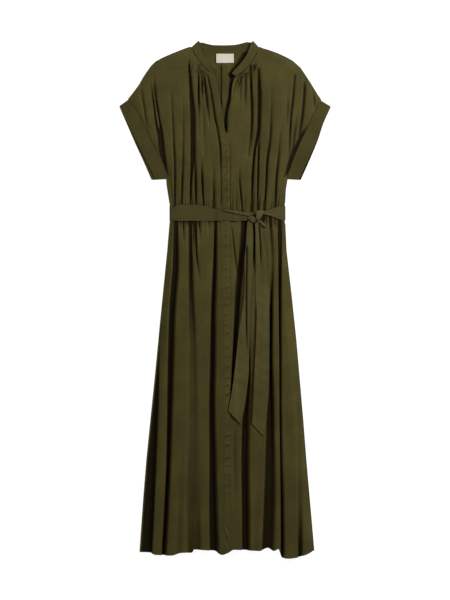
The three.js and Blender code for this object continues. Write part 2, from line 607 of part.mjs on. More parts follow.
// The knot: a wrap over the crossing, the strap that leaves it to the side, and a small corner below it
const TAIL = 1.4;
const knotBase = 8.5 + OVER + BELT + OVER + TAIL + SEAM;
function knotWrap() {
  const [wide, tall, high, waist] = [9, 10, 6.5, 2];
  const ball = new THREE.SphereGeometry(1, 16, 12);
  ball.deleteAttribute("normal");
  ball.deleteAttribute("uv");
  const merged = mergeVertices(ball);
  const unit = merged.getAttribute("position");
  const points = Array.from({ length: unit.count }, (_, i) => {
    const z = Math.max(waist + (high - waist) * unit.getY(i), 0);
    return point(72 + wide * unit.getX(i), 210 + tall * unit.getZ(i), knotBase + z);
  });
  return solid("knot_wrap", points, Array.from(merged.index.array), olive());
}
const knotStrap = () => tape("knot_strap", [
  { x: 82, high: 227, low: 211, z: knotBase + 1, crown: 2.5 },
  { x: 88, high: 229, low: 208, z: knotBase + 0.6, crown: 2.5 },
  { x: 96, high: 229.5, low: 218, z: knotBase - 1, crown: 1.6 },
  { x: 104, high: 229.5, low: 222, z: knotBase - 2, crown: 0.5 },
]);
const knotCorner = () => tape("knot_corner", [
  { x: 83.5, high: 207.5, low: 201, z: knotBase + 0.2, crown: 0.8 },
  { x: 92, high: 206.5, low: 195, z: knotBase + 0.2, crown: 1 },
  { x: 100, high: 199, low: 191, z: knotBase - 0.6, crown: 0.6 },
  { x: 108, high: 189.8, low: 188.4, z: knotBase - 1.2 },
]);

// The belt's two ends hang down the skirt, each cut on a slant
const tailInner = [
  { y: 214, left: 60, right: 71 }, { y: 203, left: 58, right: 72 }, { y: 190, left: 56, right: 72 },
  { y: 174, left: 53, right: 72 }, { y: 128, left: 51, right: 72 }, { y: 55, left: 52, right: 71 },
  { y: 0, left: 49, right: 67 }, { y: -90, left: 35, right: 64 },
  { y: -180, left: 21, right: 62.5 }, { y: -279, left: 9, right: 51 },
];
const tailOuter = [
  { y: 214, left: 76, right: 84 }, { y: 203, left: 78, right: 89 }, { y: 190, left: 79, right: 94 },
  { y: 174, left: 80, right: 97 }, { y: 128, left: 80, right: 106 }, { y: 55, left: 80, right: 112 },
  { y: -10, left: 80, right: 115 }, { y: -90, left: 78, right: 116 },
  { y: -188, left: 73, right: 115 }, { y: -232, left: 71, right: 114 }, { y: -310, left: 68, right: 108 },
];
function tail(name, table, cut) {
  const parts = 4;
  const rise = (x, y) => {
    const onBelt = beltTop(x) + OVER;
    const onSkirt = cover(x, y) + OVER;
    return Math.max(onSkirt, THREE.MathUtils.lerp(onSkirt, onBelt, smooth(178, 200, y)));
  };
  const rows = [...table.map((row) => [[row.left, row.y], [row.right, row.y]]), cut];
  const base = rows.map(([left, right]) => Array.from({ length: parts + 1 }, (_, k) => {
    const x = THREE.MathUtils.lerp(left[0], right[0], k / parts);
    const y = THREE.MathUtils.lerp(left[1], right[1], k / parts);
    return point(x, y, rise(x, y));
  }));
  return wall(name, raised(base, TAIL), base);
}

// The label inside the back of the neck
function label() {
  const [left, right, high, low] = [-23.5, 24.5, 641, 615];
  const base = [high, low].map((y) => [left, right].map((x) => point(x, y, BACK + SEAM)));
  return wall("label", raised(base, 0.8), base, { material: cream() });
}

const dress = new THREE.Group();
dress.add(
  backBodice(),
  backSkirt(),
  wall("front_bodice_right", rightBodice.upper, rightBodice.lower),
  wall("front_bodice_left", leftBodice.upper, leftBodice.lower),
  wall("front_skirt_right", rightSkirt.upper, rightSkirt.lower),
  wall("front_skirt_left", leftSkirt.upper, leftSkirt.lower),
  placket(),
  yoke("yoke_right", (y) => [atLevel(rightSide, y), atLevel(rightEdge, y) - SEAM]),
  yoke("yoke_left", (y) => [atLevel(leftEdge, y) + SEAM, atLevel(leftSide, y)]),
  collarBand(),
  cuff("cuff_right", cuffRight, -1),
  cuff("cuff_left", cuffLeft, 1),
  belt(),
  beltFold(),
  knotWrap(),
  knotStrap(),
  knotCorner(),
  tail("tail_inner", tailInner, [[8, -287], [42, -324]]),
  tail("tail_outer", tailOuter, [[67, -318], [100, -354]]),
  label(),
);

export default dress;
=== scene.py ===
"""The looks of a long shirt dress laid flat on its back, seen from straight above.

Tables are in millimetres, +Y toward the neck, and every mesh is made in metres.
"right" in a piece's name is the wearer's right, which lies at -X.
"""
import math

import bpy
import numpy as np
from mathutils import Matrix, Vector


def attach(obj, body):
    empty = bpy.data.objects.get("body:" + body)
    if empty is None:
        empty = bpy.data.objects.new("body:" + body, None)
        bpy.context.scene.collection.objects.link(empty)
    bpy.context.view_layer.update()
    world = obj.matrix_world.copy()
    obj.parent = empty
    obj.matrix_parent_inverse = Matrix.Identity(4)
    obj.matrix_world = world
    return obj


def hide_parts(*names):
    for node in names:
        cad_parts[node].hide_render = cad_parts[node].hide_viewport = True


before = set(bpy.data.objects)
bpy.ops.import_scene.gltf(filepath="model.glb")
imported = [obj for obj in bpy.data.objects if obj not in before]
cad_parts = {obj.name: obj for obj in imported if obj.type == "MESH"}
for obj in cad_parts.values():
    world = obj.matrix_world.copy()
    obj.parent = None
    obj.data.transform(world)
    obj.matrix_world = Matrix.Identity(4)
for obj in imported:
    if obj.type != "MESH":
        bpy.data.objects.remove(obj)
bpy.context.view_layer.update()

MM = 0.001

# Sizes shared with the part's source
BACK = 1.4
SEAM = 0.3
CLOTH = 1.2
ROLL = 30
WAIST = 226
YOKE_SEAM = 613
COLLAR_END = 588
HEM = -652
FOLDS_END = -660
BELT_LOW = 205
BELT_HIGH = 247
LAP = 1.6
PLACKET = 1.2
OVER = 0.45
BELT = 1.5
TAIL = 1.4
BAND = 2.0
CUFF = 1.6

# Sizes of the fine cloth
SPARE = 1.8  # what the fine cloth's side edges stand proud
SHELL = 0.7  # wall of a single layer
FLOOR = BACK + SEAM + CLOTH  # lowest that the front's upper face lies
WAIST_GAP = 0.2  # between a panel's end and the waist seam
ROW_STEP = 4.0  # spacing of points along a front panel
BODICE_COLUMNS = 150  # points across a front panel of the bodice
SKIRT_COLUMNS = 180  # points across a front panel of the skirt
TURN = 8  # steps of the rounded turn of a doubled strip
GATHERS = 15  # small gathers along one side's seam

# Side lines: y, x
RIGHT_SIDE = [
    (660, -86), (651, -111), (641, -136), (630, -161), (620, -179), (608, -191), (594, -201),
    (579, -211), (558, -223), (538, -238), (521.5, -251), (484, -223), (459, -211), (414, -191),
    (370, -168), (320, -151), (300, -150), (254, -143), (248, -141.5), (203, -141.5), (197, -142.5),
    (129, -148), (-209, -181.5), (-416, -202.5), (-521, -211), (-651, -220), (-680, -223),
]
LEFT_SIDE = [
    (660, 86), (654.6, 98), (651, 110.5), (642, 136), (631, 159.5), (622, 175.5),
    (604, 195.5), (584, 209), (561, 224),
    (536, 239), (520, 250), (496, 237), (459, 220), (412, 197), (372, 180), (332, 166), (317, 162),
    (285, 157), (254, 155.5), (248, 154), (203, 154), (197, 156), (129, 159), (0, 173.5),
    (-105, 184.5), (-313, 202.5), (-416, 210.5), (-651, 231), (-680, 234),
]
# How far past its edge a sleeve rounds down, so that its end stays open: y, distance
SLEEVE_OPEN = [(519, 0), (484, 7), (410, 8), (365, 6), (320, 0)]
# The front's height away from its sides: y, height
CREST = [
    (655, 6), (613, 8.5), (554, 11), (460, 12), (400, 12), (300, 11), (270, 9.5), (248, 8.5),
    (203, 8.5), (174, 11), (128, 14), (55, 16), (-90, 18), (-651, 18),
]
# How much the belt's back layer lifts what lies over it: y, lift
BELT_LIFT = [(262, 0), (250, 1.8), (200, 1.8), (188, 0)]
# Front edges and the placket's inner line: y, x
RIGHT_EDGE = [
    (654, -88), (635, -77), (614, -61), (595, -44), (588, -32), (576, -23), (540, -16), (479, -5),
    (468, -3.7), (457, -2), (441, 0.5), (428, 5), (402, 12), (370, 13.5), (-680, 13.5),
]
LEFT_EDGE = [
    (653, 90), (631, 78), (618, 70), (603, 58), (590, 45), (580, 30), (575, 24), (553, 19),
    (530, 16.5), (509, 11.5), (493, 8), (472, 6), (441, 5.6), (430, 2), (415, -4), (380, -6), (226, -5),
    (0, -1), (-150, 2), (-680, 3),
]
PLACKET_LINE = [
    (588, -42), (545, -37), (493, -27), (441, -19), (389, -13), (226, -11), (100, -10), (0, -7),
    (-200, -3), (-680, -3),
]
# Hems and the back's neck line: x, y
FRONT_HEM = [
    (-220, -655), (-196, -656), (-180, -661), (-140, -663), (-112, -656), (-94, -655),
    (-80, -648), (-28, -651),
    (-7, -661), (8, -656), (24, -648), (90, -651), (112, -644), (128, -651), (139, -646),
    (149, -669), (166, -671), (184, -669), (205, -663), (216, -659), (231, -651),
]
BACK_HEM = [
    (-223, -650), (-116, -650), (-108, -659), (-86, -659), (-76, -644), (100, -640), (234, -645),
]
BACK_NECK = [
    (-112, 645), (-88, 652), (-72, 649.8), (-50, 644.5), (-30, 643.2), (30, 643.2), (52, 645),
    (74, 649.6), (90, 651.5), (114, 645),
]

# Folds: from, to, then x, drop and half width at even steps. The last value leans the fold:
# -1 has a sharp left bank, +1 a sharp right bank, 0 both alike.
RIGHT_BODICE_FOLDS = [
    (580, 440, [-221, -216, -209, -203], [0, 3.4, 4, 0], [3], -0.5),
    (575, 352, [-194, -187, -180, -170, -157], [0, 5.5, 6.5, 7.5, 6], [2.2], -0.2),
    (590, 372, [-186, -181, -173, -164, -161], [0, 6, 7, 7, 7], [2, 2.4], -0.2),
    (462, 318, [-169, -168, -165, -158, -152], [0, 7.5, 8.5, 8, 7], [3, 5.5, 6.5, 4.5, 3], -0.1),
    (565, 226, [-146, -140, -136.5, -134, -131.5, -131.5, -131], [0, 3.5, 4.8, 5.6, 6.2, 6.2, 6],
     [2.6], -0.7),
    (560, 226, [-111, -110.5, -110, -110.5, -113, -114], [0, 2.6, 4.2, 5.4, 6.6, 6.8], [2.6], -0.7),
    (613, 226, [-95, -91.5, -88, -88, -90.5, -92], [7, 9.5, 9.5, 9.5, 9, 8.5],
     [2.2, 4.5, 6, 5.5, 2.6, 2.4], -0.9),
    (405, 226, [-80, -78, -76], [0, 7, 8], [3], -0.7),
    (612, 400, [-70, -70, -69, -68], [3, 8, 3, 0], [1.4, 2.6, 3, 4], -0.7),
    (530, 360, [-58, -56, -53], [0, 4, 0], [5], -0.5),
    (376, 226, [-63, -60, -55], [0, 7.5, 7], [3], -0.6),
    (600, 515, [-61, -60.5, -60], [3, 6.5, 0], [1.4, 2.2, 2], -0.6),
    (594, 440, [-56, -51, -45, -39], [3.5, 7.5, 5, 0], [1.5, 2.4, 2.4, 2], -0.6),
    (363, 226, [-33, -30.5, -28], [0, 4.5, 7], [3], -0.7),
    (584, 226, [-46.5, -35.6, -28, -18.5, -12.6, -11.5, -10.5, -8], [4, 8, 8.5, 8.5, 7, 4, 4, 4],
     [1.8, 2.5, 2.4, 2.2, 2], -0.6),
]
LEFT_BODICE_FOLDS = [
    (572, 520, [33, 30], [3, 0], [2.2], -0.6),
    (582, 500, [41, 40, 36], [3.5, 3, 0], [2.2], -0.6),
    (588, 524, [38, 27, 19], [3, 4.5, 0], [1.3], -0.6),
    (590, 540, [47, 38, 31], [3, 4.5, 0], [1.3], -0.6),
    (345, 226, [36, 37.5, 41, 45], [0, 5, 7, 6.5], [2.6], -0.7),
    (590, 490, [53, 52, 50], [5, 5, 0], [2.4], -0.6),
    (620, 590, [77, 76, 74], [0, 5, 0], [3], -0.6),
    (612, 370, [66, 67, 69, 67, 60], [6, 8.5, 8, 6.5, 3], [2.2, 3, 3], -0.6),
    (604, 226, [86, 86.5, 85.5, 74, 69.5, 68.5], [6, 9.5, 9.5, 9, 9, 8],
     [2, 4.5, 4.2, 2.8, 2.6, 2.4], -0.8),
    (446, 226, [89, 86, 84.5, 84], [0, 8, 8.5, 8.5], [2.3], -0.7),
    (560, 226, [119, 119, 117, 108.5, 105.5, 101], [0, 4, 6.5, 7.5, 7.5, 7], [3], -0.6),
    (460, 226, [145, 139, 132, 130], [0, 5.5, 7, 6.5], [3], -0.6),
    (545, 440, [163, 161], [0, 3, 0], [4], -0.5),
    (585, 350, [182, 177, 171, 168, 167], [4, 6, 7, 4.5, 2], [2.2], -0.3),
    (590, 425, [209, 206, 201, 193], [0, 6, 6.5, 3], [3], -0.3),
    (460, 318, [217, 199, 184, 170, 160], [0, 7, 8.5, 8.5, 7], [2.4, 5, 6, 4.5], 0),
    (500, 350, [190, 180, 172], [0, 3.5, 3], [3], -0.2),
    (565, 494, [224, 231, 235.5], [2, 5, 5], [2], -0.3),
    (300, 226, [151, 149], [0, 2.5], [3], 0),
]
RIGHT_SKIRT_FOLDS = [
    (-60, -660, [-172, -174, -179, -185.5, -192.5], [0, 7, 13, 14.5, 14], [12], 0.85),
    (226, -660, [-129, -130.5, -139.5, -143.5, -146, -148.5, -154, -161], [8, 14, 15, 15, 15, 15, 15, 15],
     [3.8, 7, 7, 6, 5.2, 5.5], -0.4),
    (226, 180, [-116, -116.5], [6, 0], [1.8], 0),
    (-390, -660, [-119, -121, -124], [0, 3, 4], [8], 0),
    (226, 140, [-107.6, -107], [6.5, 5, 0], [1.8], 0),
    (226, 186, [-98.6, -97], [7.5, 0], [1.7], 0),
    (226, -660, [-91, -89.5, -86, -86, -88, -84], [7, 10, 6.8, 5.8, 6.4, 9], [3.5, 6, 9, 13, 16], -0.2),
    (226, 100, [-82, -81], [4, 5, 0], [2.0], -0.5),
    (226, 40, [-77.5, -75.5, -66], [8, 8, 0], [2.4], -0.5),
    (226, 150, [-69, -64], [7, 4, 0], [2.0], -0.5),
    (226, 150, [-45, -42], [3, 0], [4], -0.7),
    (-209, -365, [-54, -54], [0, 1.5, 0], [10], 0),
    (226, -660, [-25, -28, -33, -34.8, -37, -35.5, -35, -32.5], [8, 12, 13.5, 14.5, 15, 15, 15, 15],
     [2.8, 5, 6.2, 6.8, 8.4, 10], -0.5),
]
LEFT_SKIRT_FOLDS = [
    (226, -300, [53, 45.5, 35, 29, 24, 22], [8, 13, 15, 15, 13, 0], [6.6, 7.2, 6.5, 5.5, 5], 0.1),
    (222, 60, [77, 77, 76], [7, 9, 0], [3.2], -0.2),
    (190, 58, [17, 24, 34], [3, 5.5, 6], [1.8], -0.6),
    (-290, -560, [30, 23, 24, 30], [0, 4, 3, 0], [6], 0),
    (-60, -660, [54, 51.5, 48.5, 46.5, 47.5, 48.5], [0, 10, 13.5, 15, 15, 15], [8.4], -0.75),
    (226, 175, [87, 86], [3, 0], [3], 0),
    (-400, -660, [86, 80, 77], [0, 2.5, 3], [8], 0),
    (226, 170, [101, 99], [4, 0], [3], 0),
    (226, 185, [108, 107], [3, 0], [2.5], 0),
    (226, -660, [116, 122, 119, 115.5, 115, 114, 111.5, 106.5], [6, 5, 12.5, 13.5, 13, 12.5, 13, 13],
     [3.4, 3.6, 5.5, 8.5, 12, 13.5], -0.3),
    (-157, -417, [124, 124], [0, 3, 0], [5], 0),
    (226, 170, [130, 130], [3, 0], [3], 0),
    (226, -660, [140, 141, 141.5, 142.5, 143, 144.5, 147, 147.5], [9, 13, 12, 11, 10, 9.5, 12, 12],
     [4.6, 3.8, 3.2, 3, 3.6, 4.6], -0.5),
    (-180, -660, [176, 190, 192, 193, 194], [0, 3, 4, 6, 12], [5], -0.3),
]

# Collar: seam x, seam y, upper edge x, upper edge y
COLLAR_RIGHT = [
    (-32, 589, -28, 605), (-44, 596, -34.5, 610), (-61, 614.5, -44, 622), (-76, 635, -57, 640),
    (-83, 648.5, -63, 657), (-86, 653.5, -65, 670),
]
COLLAR_BACK = [
    (-70, 650, -57, 669.5), (-50, 645, -44, 666), (-30, 643.7, -28, 663.3), (0, 643.5, 0, 662.8),
    (30, 643.7, 27, 664.2), (52, 645.5, 42, 667.2), (73, 650, 58, 671),
]
COLLAR_LEFT = [
    (88, 653, 70, 670), (85, 646.5, 65, 656), (78, 632, 57, 637), (69.5, 618, 45, 619),
    (57.5, 604, 33, 605), (44, 591.5, 24.5, 596), (30, 580.5, 18.5, 589),
]
# Cuffs: seam x, seam y, edge x, edge y, swell
CUFF_RIGHT = [
    (-251, 520, -274, 502.5, 0), (-222, 481, -252, 459, 1.6), (-196.5, 425, -228, 410, 2.0),
    (-173.5, 377, -203, 360, 1.0), (-152.5, 316.5, -181, 314.5, 0),
]
CUFF_LEFT = [
    (250, 517.5, 275.5, 501.5, 0), (229.5, 477, 256, 461, 1.6), (203.5, 423, 238, 412, 2.4),
    (182.5, 376, 217, 364, 2.0), (164, 316.5, 194, 314.5, 0.5),
]
# The line inside the neck beside which the back gets painted shade, standing for the shadow of the collar
# and the left front's edge: y, x
NECK_SHADE = [
    (660, 68), (637, 57), (619, 45), (605, 33), (596, 24.5), (589, 20), (575, 22), (553, 19),
    (530, 16.5), (509, 11.5), (493, 8), (472, 6), (441, 5.6),
]
# Belt: x, upper edge, lower edge
BELT_FRONT = [
    (-138, 243, 206), (-135, 241, 206), (-116, 247, 205), (-77, 247, 205), (-46, 243, 205),
    (-29, 237, 205), (-14, 235, 205), (25, 232, 205), (37, 230, 205), (62, 227, 206),
    (85, 227, 212), (104, 229.5, 221), (112, 232.5, 220), (130, 239, 214), (149, 245, 207),
    (151, 243, 206),
]
BELT_FOLD = [(-8, 234, 232.5), (8, 233, 229), (25, 231, 224.5), (37, 229.5, 222), (65, 225.5, 217.5)]
# Hanging ends of the belt: y, left edge, right edge, then the corners of the slanted cut
TAIL_INNER = [
    (214, 60, 71), (203, 59, 72), (190, 58, 72), (174, 57, 72), (150, 56, 72), (128, 53.5, 72),
    (105, 51.5, 72), (55, 52, 71),
    (0, 49, 67), (-90, 36, 64), (-180, 26, 62.5), (-240, 18, 57), (-279, 10.5, 51),
]
TAIL_INNER_CUT = ((9, -288), (42, -324))
TAIL_OUTER = [
    (214, 76, 84), (203, 78, 89), (190, 79, 94), (174, 80, 97), (128, 80, 106), (55, 80, 112),
    (-10, 80, 115), (-90, 78, 116), (-188, 73, 115), (-232, 71, 114), (-310, 68, 108),
]
TAIL_OUTER_CUT = ((67, -318), (100, -354))


# Lines and tables

def rounded(places, values):
    """A function through the points, rounded between them, with no overshoot."""
    places, values = np.asarray(places, float), np.asarray(values, float)
    if len(places) == 1:
        return lambda at: np.full(np.shape(at), values[0])
    if places[0] > places[-1]:
        places, values = places[::-1], values[::-1]
    gap = np.diff(places)
    slope = np.diff(values) / gap
    tangent = np.zeros(len(places))
    tangent[0], tangent[-1] = slope[0], slope[-1]
    for i in range(1, len(places) - 1):
        if slope[i - 1] * slope[i] > 0:
            tangent[i] = 2 * slope[i - 1] * slope[i] / (slope[i - 1] + slope[i])

    def at_place(at):
        at = np.clip(np.asarray(at, float), places[0], places[-1])
        i = np.clip(np.searchsorted(places, at) - 1, 0, len(gap) - 1)
        t = (at - places[i]) / gap[i]
        rise = t * t * (3 - 2 * t)
        lead = gap[i] * tangent[i] * t * (1 - t) ** 2
        trail = gap[i] * tangent[i + 1] * t * t * (t - 1)
        return values[i] * (1 - rise) + values[i + 1] * rise + lead + trail

    return at_place


def straight(table):
    """A function of a table, straight between its rows."""
    rows = sorted(table)
    places = [row[0] for row in rows]
    values = [row[1] for row in rows]
    return lambda at: np.interp(at, places, values)


def column(table, i):
    return [row[i] for row in table]


def curve(table, i=1, shift=0):
    """A rounded function of a table's first column."""
    return rounded(column(table, 0), [value + shift for value in column(table, i)])


def bell(value, half):
    """1 at 0, falling on both sides."""
    return np.exp(-(value / half) ** 2)


right_side = straight([(y, x - SPARE) for y, x in RIGHT_SIDE])
left_side = straight([(y, x + SPARE) for y, x in LEFT_SIDE])
sleeve_open = curve(SLEEVE_OPEN)
crest = curve(CREST)
belt_lift = curve(BELT_LIFT)
right_edge = curve(RIGHT_EDGE)
left_edge = curve(LEFT_EDGE)
placket_line = curve(PLACKET_LINE)
front_hem = curve(FRONT_HEM, shift=-SPARE)
back_hem = curve(BACK_HEM)
back_neck = curve(BACK_NECK)
belt_high = curve(BELT_FRONT)
belt_low = curve(BELT_FRONT, 2)


def step(low, high, value):
    """0 below low, 1 above high, smooth between."""
    t = np.clip((value - low) / (high - low), 0, 1)
    return t * t * (3 - 2 * t)


def even(values, share):
    """A list of even steps read at shares from 0 to 1."""
    return rounded(np.linspace(0, 1, len(values)), values)(np.clip(share, 0, 1))


# Heights

def loft(x, y):
    """Height of the front between its folds."""
    lower_sleeve, seam_dip, dip_half = 0.4, 0.85, 2.6
    base = FLOOR + belt_lift(y)
    side = np.minimum(x - right_side(y), left_side(y) - x)
    near = np.clip((side + sleeve_open(y)) / ROLL, 0, 1)
    sleeve = 1 - lower_sleeve * step(115, 195, np.abs(x)) * step(340, 410, y)
    at_cuff = bell(np.maximum(side, 0), dip_half) * step(322, 334, y) * step(519, 508, y)
    groove = 1 - seam_dip * at_cuff
    return base + (crest(y) - base) * np.sin(near * math.pi / 2) * sleeve * groove


def drop_at(folds, x, y):
    """How far the folds drop the upper face: a narrow trough with rounded shoulders."""
    past, narrower, most_lean = 0.001, 0.28, 0.8  # past the ends, at the belt, of the banks
    trough, wide_dip, dip_half = 0.9, 0.1, 15  # shares of the drop, and the wide dip's half width
    total = np.zeros(np.shape(x))
    for start, end, places, drops, halves, lean in folds:
        share = (start - y) / (start - end)
        inside = (share >= -past) & ((share <= 1 + past) | (end <= FOLDS_END))
        middle, depth, half = even(places, share), even(drops, share), even(halves, share)
        drawn_in = 1 - narrower * step(330, 240, y) * (y > WAIST)
        offset = (x - middle) / (half * drawn_in)
        bank = np.where(offset < 0, 1 + most_lean * lean, 1 - most_lean * lean)
        away = np.abs(offset) / bank
        steep = 2 + step(4, 9, depth) * (np.where(offset * lean > 0, 4.5, 2) + 2 * step(7, 10, half))
        shape = trough * np.exp(-(away / 1.15) ** steep) + wide_dip * bell(x - middle, dip_half)
        total += np.where(inside, depth * shape, 0)
    return total


def crimps(seed, x, y, left, right, seam, reach, depth):
    """Small gathers at a seam: many uneven troughs that fade away from it."""
    random = np.random.default_rng(seed)
    share = (x - left) / np.maximum(right - left, 1)
    total = np.zeros(np.shape(x))
    away = np.abs(y - seam)
    spots = (np.arange(GATHERS) + random.uniform(0.15, 0.85, GATHERS)) / GATHERS
    for spot in spots:
        length = reach * random.uniform(0.35, 1.3)
        fade = np.clip(1 - away / length, 0, 1) ** 1.3
        bend = random.uniform(-0.012, 0.012) * away / reach
        half = random.uniform(0.8, 1.3) * (1 + 1.5 * away / reach)
        offset = (share - spot - bend) * (right - left) / half
        offset = np.where(offset < 0, offset * 2, offset / 1.5)
        total += depth * random.uniform(0.4, 1) * fade * bell(offset, 1)
    return total


def ripple(seed, x, y, left, right, size):
    """Slow uneven waves that run with the panel."""
    random = np.random.default_rng(seed)
    share = (x - left) / np.maximum(right - left, 1)
    total = np.zeros(np.shape(x))
    for waves in (3.3, 5.1, 8.7, 13.1):
        phase = random.uniform(0, 2 * math.pi)
        sway = 0.7 * np.sin(y / random.uniform(90, 190) + random.uniform(0, 6))
        power = 0.6 + 0.4 * np.sin(y / random.uniform(60, 140) + random.uniform(0, 6))
        total += size * power * np.sin(2 * math.pi * waves * share + phase + sway) / math.sqrt(waves)
    return total


def settle(z, low):
    """Heights kept above the lowest, with a soft landing."""
    soft = 0.8
    return low + soft * np.logaddexp(0, (z - low) / soft)


# Meshes

def mesh_piece(name, points, faces, material, sharp=70):
    """A named piece from points in millimetres, with edges sharper than an angle kept so."""
    mesh = bpy.data.meshes.new(name)
    mesh.from_pydata((np.asarray(points, float) * MM).tolist(), [], np.asarray(faces).tolist())
    mesh.materials.append(material)
    mesh.shade_smooth()
    mesh.set_sharp_from_angle(angle=math.radians(sharp))
    mesh.update()
    piece = bpy.data.objects.new(name, mesh)
    bpy.context.scene.collection.objects.link(piece)
    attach(piece, "root")
    return piece


def shade(piece, crease_and_painted_shade):
    """Painted shade at each point, from 0 to 1, kept on the mesh: the cloth's colour darkens with it where
    folds and shadows fall.
    """
    kept = piece.data.attributes.new("crease_and_painted_shade", "FLOAT", "POINT")
    kept.data.foreach_set("value", np.asarray(crease_and_painted_shade, np.float32))


def unit(vectors):
    length = np.linalg.norm(vectors, axis=-1, keepdims=True)
    return vectors / np.maximum(length, 1e-9)


def normals_of(grid, ring=False):
    """Unit normals of a grid of points, upward for one that runs along -Y and +X."""
    if ring:
        along = np.roll(grid, -1, axis=0) - np.roll(grid, 1, axis=0)
    else:
        along = np.gradient(grid, axis=0)
    return unit(np.cross(np.gradient(grid, axis=1), along))


def closed_faces(rows, columns, ring=False):
    """Quads of a closed wall between two grids, the upper one first."""
    strips = rows if ring else rows - 1
    r, c = np.meshgrid(np.arange(strips), np.arange(columns - 1), indexing="ij")
    after = (r + 1) % rows
    low = rows * columns
    a, b = r * columns + c, after * columns + c
    d, e = b + 1, a + 1
    upper = np.stack([a, b, d, e], axis=-1).reshape(-1, 4)
    lower = np.stack([a + low, e + low, d + low, b + low], axis=-1).reshape(-1, 4)
    r = np.arange(strips)
    after = (r + 1) % rows
    sides = []
    for edge, turned in ((0, False), (columns - 1, True)):
        a, b = r * columns + edge, after * columns + edge
        quad = np.stack([a, a + low, b + low, b], axis=-1)
        sides.append(quad[:, ::-1] if turned else quad)
    if not ring:
        c = np.arange(columns - 1)
        for row, turned in ((0, True), (rows - 1, False)):
            a = row * columns + c
            quad = np.stack([a, a + low, a + low + 1, a + 1], axis=-1)
            sides.append(quad[:, ::-1] if turned else quad)
    return np.concatenate([upper, lower, *sides])


def shell(name, grid, material, thickness=SHELL, ring=False, middle=False, crease_and_painted_shade=None):
    """A closed thin wall under a grid of points, or about it where the grid is its middle."""
    normal = normals_of(grid, ring)
    if middle:
        top, bottom = grid + normal * thickness / 2, grid - normal * thickness / 2
    else:
        top, bottom = grid, grid - normal * thickness
    faces = closed_faces(grid.shape[0], grid.shape[1], ring)
    points = np.concatenate([top.reshape(-1, 3), bottom.reshape(-1, 3)])
    a, b, c, d = (points[faces[:, i]] for i in range(4))
    volume = (a * (np.cross(b, c) + np.cross(c, d))).sum()
    if volume < 0:
        faces = faces[:, ::-1]
    piece = mesh_piece(name, points, faces, material)
    if crease_and_painted_shade is not None:
        shade(piece, np.tile(crease_and_painted_shade.reshape(-1), 2))
    return piece


def resampled(stations, count):
    """Stations, each a row of numbers, read at even steps along a rounded line through them."""
    stations = np.asarray(stations, float)
    length = np.linalg.norm(np.diff(stations[:, :3], axis=0), axis=1)
    place = np.concatenate([[0], np.cumsum(np.maximum(length, 0.01))])
    at = np.linspace(0, place[-1], count)
    return np.stack([rounded(place, stations[:, i])(at) for i in range(stations.shape[1])], axis=1)


def stitches(path, pitch=2.6, size=(1.8, 0.45, 0.3)):
    """Points and faces of a row of thread stitches along a path that lies on the cloth."""
    path = np.asarray(path, float)
    length = np.linalg.norm(np.diff(path, axis=0), axis=1)
    place = np.concatenate([[0], np.cumsum(length)])
    count = max(int(place[-1] / pitch), 1)
    at = (np.arange(count) + 0.5) * place[-1] / count

    def on_path(spots):
        return np.stack([np.interp(spots, place, path[:, i]) for i in range(3)], axis=1)

    centre = on_path(at)
    run = unit(on_path(at + 0.5) - on_path(at - 0.5))
    side = unit(np.stack([-run[:, 1], run[:, 0], np.zeros(count)], axis=1))
    rise = np.cross(run, side)
    rise *= np.sign(rise[:, 2:3] + 1e-9)
    halves = [axis * extent / 2 for axis, extent in zip((run, side, rise), size)]
    points = np.concatenate([centre + way * half for half in halves for way in (-1, 1)])
    corner = [np.arange(count) + count * k for k in range(6)]
    faces = []
    for end in (0, 1):
        for a, b in ((2, 5), (5, 3), (3, 4), (4, 2)):
            tri = (corner[end], corner[a], corner[b]) if end else (corner[end], corner[b], corner[a])
            faces.append(np.stack(tri, axis=-1))
    return points, np.concatenate(faces)


# Materials

WAVE_PITCH = 0.314  # a wave texture repeats at this over its scale


